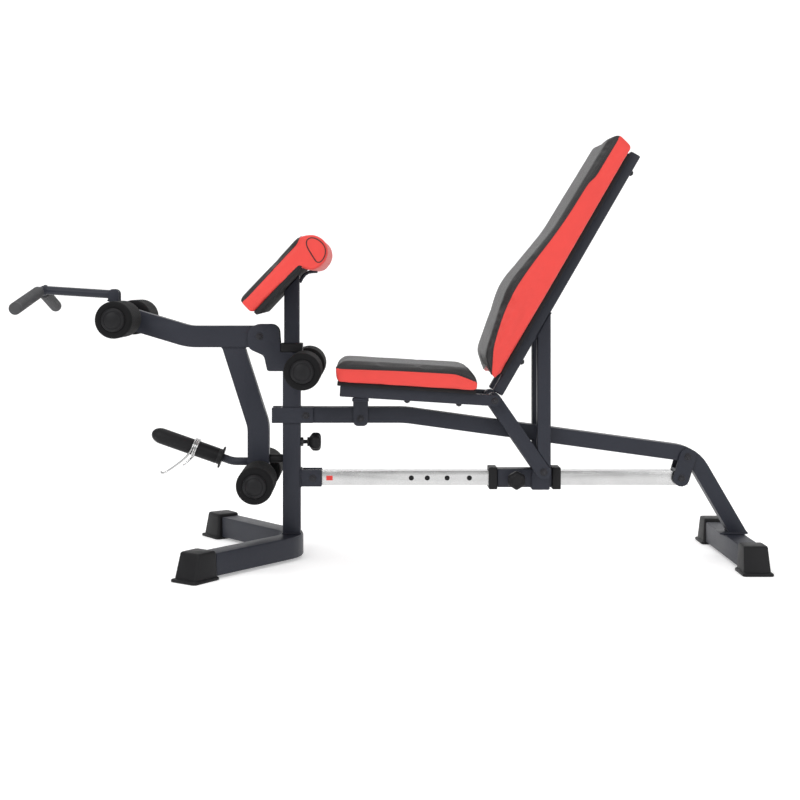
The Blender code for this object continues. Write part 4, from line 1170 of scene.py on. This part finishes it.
class BENCH_OT_make_curl_bar(bpy.types.Operator):
    """Bends the curl bar and turns its two ribbed grips"""
    bl_idname = "bench.make_curl_bar"
    bl_label = "Make curl bar"

    def execute(self, context):
        radius, grip_start = 0.0099, 0.030
        start, bend = pivot("curl_fold"), at(-0.588, 0.0, 0.6265)
        heading = (bend - start).normalized()
        bm = bmesh.new()
        sweep(bm, [start - heading * 0.0098, start, bend], radius, 40)
        tips = [at(-0.600, sign * 0.200, 0.586) for _, sign in SIDES]
        inner = [bend.lerp(tip, 0.10) for tip in tips]
        curve = [inner[0].lerp(bend, t).lerp(bend.lerp(inner[1], t), t) for t in [i / 8.0 for i in range(9)]]
        sweep(bm, [bend.lerp(tips[0], 0.97)] + curve + [bend.lerp(tips[1], 0.97)], radius, 40)
        lathe(bm, [(0.0, -0.0015), (0.0112, -0.0010), (0.0125, 0.001), (0.0125, 0.006), (0.0, 0.006)],
              frame_at(start + heading * 0.160, heading), 40)
        finished("curl_tube", bm, "powder_coat", "curl", "curl_bar")
        ribs = settings("bench_rollers").ribs
        for (side, _), tip in zip(SIDES, tips):
            out = (tip - bend).normalized()
            reach = (tip - bend).length - grip_start + 0.006
            profile = [(0.0101, 0.0), (0.0130, 0.0), (0.0142, 0.0012), (0.0142, 0.0050)]
            pitch = (reach - 0.016) / ribs
            for i in range(ribs):
                base = 0.006 + pitch * i
                profile += [(0.0134, base), (0.0134, base + pitch * 0.22), (0.0141, base + pitch * 0.38),
                            (0.0141, base + pitch * 0.84)]
            profile += [(0.0142, reach - 0.008), (0.0139, reach - 0.0035), (0.0120, reach - 0.0010),
                        (0.0090, reach), (0.0, reach)]
            turned(f"curl_grip_{side}_ribbed", profile, frame_at(bend + out * grip_start, out), 48,
                   "grip_rubber", "curl", f"curl_grip_{side}", smooth=60.0)
        return {"FINISHED"}


class BENCH_OT_make_plate_holder(bpy.types.Operator):
    """Rounds the plate holder's rod, turns its sleeve and thickens the spring clip"""
    bl_idname = "bench.make_plate_holder"
    bl_label = "Make plate holder"

    def execute(self, context):
        softened("plate_holder_rod", "powder_coat", 0.0004, corner=50.0)
        flange = at(-0.138, 0.0, 0.224) + SLEEVE_AXIS * 0.0265
        radius, straight, dome = 0.0185, 0.150, 0.0258
        profile = [(0.0, 0.0), (0.0252, 0.0), (0.0260, 0.0008), (0.0260, 0.0032), (0.0252, 0.0040),
                   (0.0190, 0.0042), (radius, 0.0060), (radius, 0.0100), (radius - 0.0006, 0.0108),
                   (radius - 0.0006, 0.0124), (radius, 0.0132), (radius, straight)]
        profile += [(radius * math.cos(turn), straight + dome * math.sin(turn)) for turn in quarter(12)[1:-1]]
        profile.append((0.0, straight + dome))
        turned("plate_sleeve", profile, frame_at(flange, SLEEVE_AXIS), 72, "moulded_plastic", "lever",
               "plate_holder_sleeve", smooth=40.0)
        bm = node_mesh("spring_clip")
        bm.normal_update()
        thicker = 0.0006
        for vert, outward in [(v, v.normal.copy()) for v in bm.verts]:
            vert.co += outward * thicker
        clip = piece("spring_clip_wire", bm, "chrome", 180.0)
        divided(clip)
        fit(clip, "clip", "chrome", "spring_clip")
        return {"FINISHED"}


class BENCH_OT_make_knobs(bpy.types.Operator):
    """Turns the lobed pull knobs on their threaded pins"""
    bl_idname = "bench.make_knobs"
    bl_label = "Make pull knobs"

    def execute(self, context):
        lobes = settings("bench_rollers").lobes
        outline = [(0.0, -0.001), (0.48, -0.001), (0.50, 0.001), (0.48, 0.003), (0.58, 0.005), (0.84, 0.009),
                   (0.97, 0.012), (1.0, 0.015), (1.0, 0.022), (0.96, 0.026), (0.84, 0.029), (0.62, 0.0308),
                   (0.58, 0.0300), (0.20, 0.0302), (0.0, 0.0302)]
        thread_radius, pitch, turns = 0.0049, 0.0011, 7
        for node, facing, holder in (("post_pin", REARWARD, "frame"),
                                     ("carriage_pin", -SIDEWAYS, "carriage")):
            radius = size(node).z / 2.0
            reach = abs(facing.dot(size(node)))
            place = frame_at(middle(node) - facing * (reach / 2.0), facing)
            base = reach - 0.031
            wall = base - 0.017
            thread_start = wall + 0.009

            def lobed(angle, height):
                """Finger lobes on the wide part of the knob."""
                wide = min(1.0, max(0.0, (height - base - 0.006) / 0.006))
                return 1.0 - 0.055 * wide * (1.0 - math.cos(lobes * angle))

            turned(f"{node}_knob", [(radius * share, base + rise) for share, rise in outline], place, 96,
                   "moulded_plastic", BODY_OF[node], node, smooth=40.0, swell=lobed)
            shank = [(0.0, 0.0), (0.0040, 0.0), (thread_radius, 0.0012), (thread_radius, thread_start)]
            for i in range(turns):
                crest = thread_start + i * pitch
                shank += [(thread_radius, crest), (thread_radius - 0.0006, crest + pitch / 2.0)]
            shank += [(thread_radius, base - 0.0005), (0.0, base - 0.0005)]
            turned(f"{node}_shank", shank, place, 32, "dark_zinc", BODY_OF[node], smooth=50.0)
            nut = [(0.0055, 0.0), (0.0100, 0.0), (0.0104, 0.0006), (0.0104, 0.0060), (0.0096, 0.0068),
                   (0.0055, 0.0068)]
            turned(f"{node}_nut", [(r, wall + rise) for r, rise in nut], place, 6, "dark_zinc", holder,
                   smooth=20.0, ring=True)
        return {"FINISHED"}


class BENCH_OT_make_feet(bpy.types.Operator):
    """Moulds the ribbed plastic feet"""
    bl_idname = "bench.make_feet"
    bl_label = "Make foot caps"

    def execute(self, context):
        apex = Vector((POST_X, 0.0, 0.0))
        for foot in ("front", "rear"):
            for side, sign in SIDES:
                node = f"{foot}_foot_cap_{side}"
                base = section(node, UP * 0.0015, UP)
                centre = sum(base, Vector()) / len(base)
                inward = (apex - centre) if foot == "front" else -SIDEWAYS * sign
                inward.z = 0.0
                self.cap(node, base, centre, inward.normalized())
        return {"FINISHED"}

    def cap(self, node, base, centre, inward):
        """A flared lip and a sloping body that leans to the tube."""
        side = UP.cross(inward)
        length = max(abs((p - centre).dot(inward)) for p in base)
        width = max(abs((p - centre).dot(side)) for p in base)
        top = high(node).z
        levels = [(0.0000, 0.965, 0.965, 0.0), (0.0012, 0.990, 0.990, 0.0), (0.0046, 0.990, 0.990, 0.0),
                  (0.0060, 0.960, 0.955, 0.0), (0.0072, 0.860, 0.860, 0.003),
                  (top - 0.010, 0.700, 0.785, 0.0085), (top - 0.0045, 0.680, 0.775, 0.0090),
                  (top - 0.0015, 0.640, 0.745, 0.0090), (top - 0.0003, 0.560, 0.680, 0.0090)]
        bm = bmesh.new()
        rings = []
        for height, long, wide, lean in levels:
            a, b = length * long, width * wide
            corner = min(a, b) * 0.22
            ring = []
            for quadrant, (sx, sy) in enumerate(((1, 1), (-1, 1), (-1, -1), (1, -1))):
                for step in range(5):
                    angle = math.pi / 2.0 * (quadrant + step / 4.0)
                    along = sx * (a - corner) + corner * math.cos(angle) + lean
                    across = sy * (b - corner) + corner * math.sin(angle)
                    point = Vector((centre.x, centre.y, height)) + inward * along + side * across
                    ring.append(bm.verts.new(point))
            rings.append(ring)
        for first, second in zip(rings, rings[1:]):
            for i in range(len(first)):
                j = (i + 1) % len(first)
                bm.faces.new((first[i], first[j], second[j], second[i]))
        bm.faces.new(rings[0][::-1])
        bm.faces.new(rings[-1])
        finished(f"{node}_moulded", bm, "moulded_plastic", "frame", node, smooth=50.0)


class BENCH_OT_make_fittings(bpy.types.Operator):
    """Makes the collar, bushings, bumper, tube plugs and plain label"""
    bl_idname = "bench.make_fittings"
    bl_label = "Make fittings"

    def execute(self, context):
        for node in BUSHINGS:
            softened(node, "moulded_plastic", 0.0024)
        reach = size("lever_stop").x / 2.0
        profile = [(0.0, -reach), (0.0098, -reach), (0.0098, reach - 0.004), (0.0090, reach - 0.0010),
                   (0.0070, reach), (0.0, reach)]
        turned("stop_bumper", profile, frame_at(middle("lever_stop"), REARWARD), 48, "moulded_plastic",
               "lever", "lever_stop")
        seat_end = (low("seat_rail_near").x - BACK_PIVOT.x) / -math.cos(SEAT_SLOPE) - 0.0022
        for body, ends, heading in (
                ("seat", [seat_at(seat_end, sign * SEAT_RAIL_Y, 0.0) for _, sign in SIDES], SEAT_ALONG),
                ("backrest", [back_at(0.6500, sign * BACK_RAIL_Y, 0.0) for _, sign in SIDES], BACK_ALONG)):
            blocks(f"{body}_rail_plugs", [frame_at(end, heading, SIDEWAYS) for end in ends],
                   (0.0246, 0.0246, 0.0050), 0.0022, "moulded_plastic", body)
        foot = UP * low("lever_leg").z
        across = [point.x for point in section("lever_leg", foot + UP * 0.001, UP)]
        foot.x = (min(across) + max(across)) / 2.0
        blocks("lever_leg_plug", [frame_at(foot, UP, SIDEWAYS)], (0.0364, 0.0484, 0.0056), 0.0026,
               "moulded_plastic", "lever")
        rail = middle("slide_rail")
        blocks("rail_liner", [Matrix.Translation(rail)], (size("slide_rail").x - 0.006, 0.0284, 0.0284),
               0.0010, "moulded_plastic", "frame")
        label = at(0.0885, low("slide_rail").y - 0.00012, rail.z)
        blocks("plain_rail_label", [Matrix.Translation(label)], (0.015, 0.0004, 0.011), 0.00015,
               "plain_label", "frame", segments=1)
        return {"FINISHED"}


class BENCH_OT_set_stage(bpy.types.Operator):
    """Sets the floor, the soft lights and the camera"""
    bl_idname = "bench.set_stage"
    bl_label = "Set stage"

    def light(self, name, place, target, extent, watts):
        """A soft rectangular light."""
        data = bpy.data.lights.new(name, "AREA")
        data.shape = "RECTANGLE"
        data.size, data.size_y = extent
        data.energy = watts
        obj = bpy.data.objects.new(name, data)
        bpy.context.scene.collection.objects.link(obj)
        obj.location = place
        obj.rotation_euler = (Vector(target) - Vector(place)).to_track_quat("-Z", "Y").to_euler()

    def execute(self, context):
        scene = context.scene
        scene.world = bpy.data.worlds.new("soft_studio")
        scene.world.use_nodes = True
        background = scene.world.node_tree.nodes["Background"]
        background.inputs["Color"].default_value = (1.0, 1.0, 1.0, 1.0)
        background.inputs["Strength"].default_value = 0.46
        self.light("key", (-1.8, -3.0, 2.6), (0.0, 0.0, 0.35), (2.2, 1.4), 62.0)
        self.light("fill", (2.4, -2.8, 1.5), (0.1, 0.0, 0.5), (1.6, 1.6), 26.0)
        self.light("top", (0.0, 0.3, 3.2), (0.0, 0.0, 0.0), (3.2, 2.0), 40.0)
        shader = Shader("pale_sweep", (0.90, 0.90, 0.90))
        faint = shader.noise(2.0, 2.0)
        shader.set(Base_Color=(0.90, 0.90, 0.90, 1.0), Roughness=0.65 + faint * 0.1,
                   Specular_IOR_Level=0.0, Emission_Color=(1.0, 1.0, 1.0, 1.0), Emission_Strength=0.34)
        bm = bmesh.new()
        bend, half_width, drop = 2.0, 9.0, 0.0005
        profile = [(-6.0, 0.0), (bend, 0.0)]
        profile += [(bend + bend * math.sin(turn), bend - bend * math.cos(turn)) for turn in quarter(16)[1:]]
        profile.append((2.0 * bend, 7.0))
        rows = [[bm.verts.new((x, y, z - drop)) for x in (-half_width, half_width)] for y, z in profile]
        for first, second in zip(rows, rows[1:]):
            bm.faces.new((first[0], first[1], second[1], second[0]))
        piece("floor_sweep", bm, shader.material, 60.0)
        camera = bpy.data.cameras.new("side_view")
        camera.sensor_width = 36.0
        camera.lens = 63.2
        camera.shift_x = 0.0375
        camera.shift_y = -0.14375
        viewer = bpy.data.objects.new("side_view", camera)
        scene.collection.objects.link(viewer)
        viewer.location = (-0.0436, -3.3, 0.638)
        viewer.rotation_euler = (math.pi / 2.0, 0.0, 0.0)
        scene.camera = viewer
        scene.view_settings.view_transform = "Standard"
        return {"FINISHED"}


OPERATORS = (BENCH_OT_make_pads, BENCH_OT_make_tubes, BENCH_OT_make_plates, BENCH_OT_make_boards,
             BENCH_OT_make_welds, BENCH_OT_make_fasteners, BENCH_OT_make_rollers, BENCH_OT_make_axles,
             BENCH_OT_make_curl_bar, BENCH_OT_make_plate_holder, BENCH_OT_make_knobs, BENCH_OT_make_feet,
             BENCH_OT_make_fittings, BENCH_OT_set_stage)


class BENCH_PT_panel(bpy.types.Panel):
    """The bench maker's settings and steps"""
    bl_idname = "BENCH_PT_panel"
    bl_label = "Weight Bench"
    bl_space_type = "VIEW_3D"
    bl_region_type = "UI"
    bl_category = "Bench"

    def draw(self, context):
        for attribute, group in GROUPS.items():
            column = self.layout.box().column()
            for name in group.__annotations__:
                column.prop(getattr(context.scene, attribute), name)
        column = self.layout.column()
        for operator in OPERATORS:
            column.operator(operator.bl_idname)


GROUPS = {"bench_pads": BenchPadSettings, "bench_frame": BenchFrameSettings,
          "bench_rollers": BenchRollerSettings}


def register():
    """Registers the classes and the scene's settings."""
    for group in GROUPS.values():
        bpy.utils.register_class(group)
    for attribute, group in GROUPS.items():
        setattr(bpy.types.Scene, attribute, PointerProperty(type=group))
    for cls in (*OPERATORS, BENCH_PT_panel):
        bpy.utils.register_class(cls)


def unregister():
    """Removes what register() added."""
    for cls in (BENCH_PT_panel, *reversed(OPERATORS)):
        bpy.utils.unregister_class(cls)
    for attribute, group in GROUPS.items():
        delattr(bpy.types.Scene, attribute)
        bpy.utils.unregister_class(group)


def main():
    """Makes every piece in order."""
    register()
    for operator in OPERATORS:
        family, name = operator.bl_idname.split(".")
        getattr(getattr(bpy.ops, family), name)()


if __name__ == "__main__":
    main()
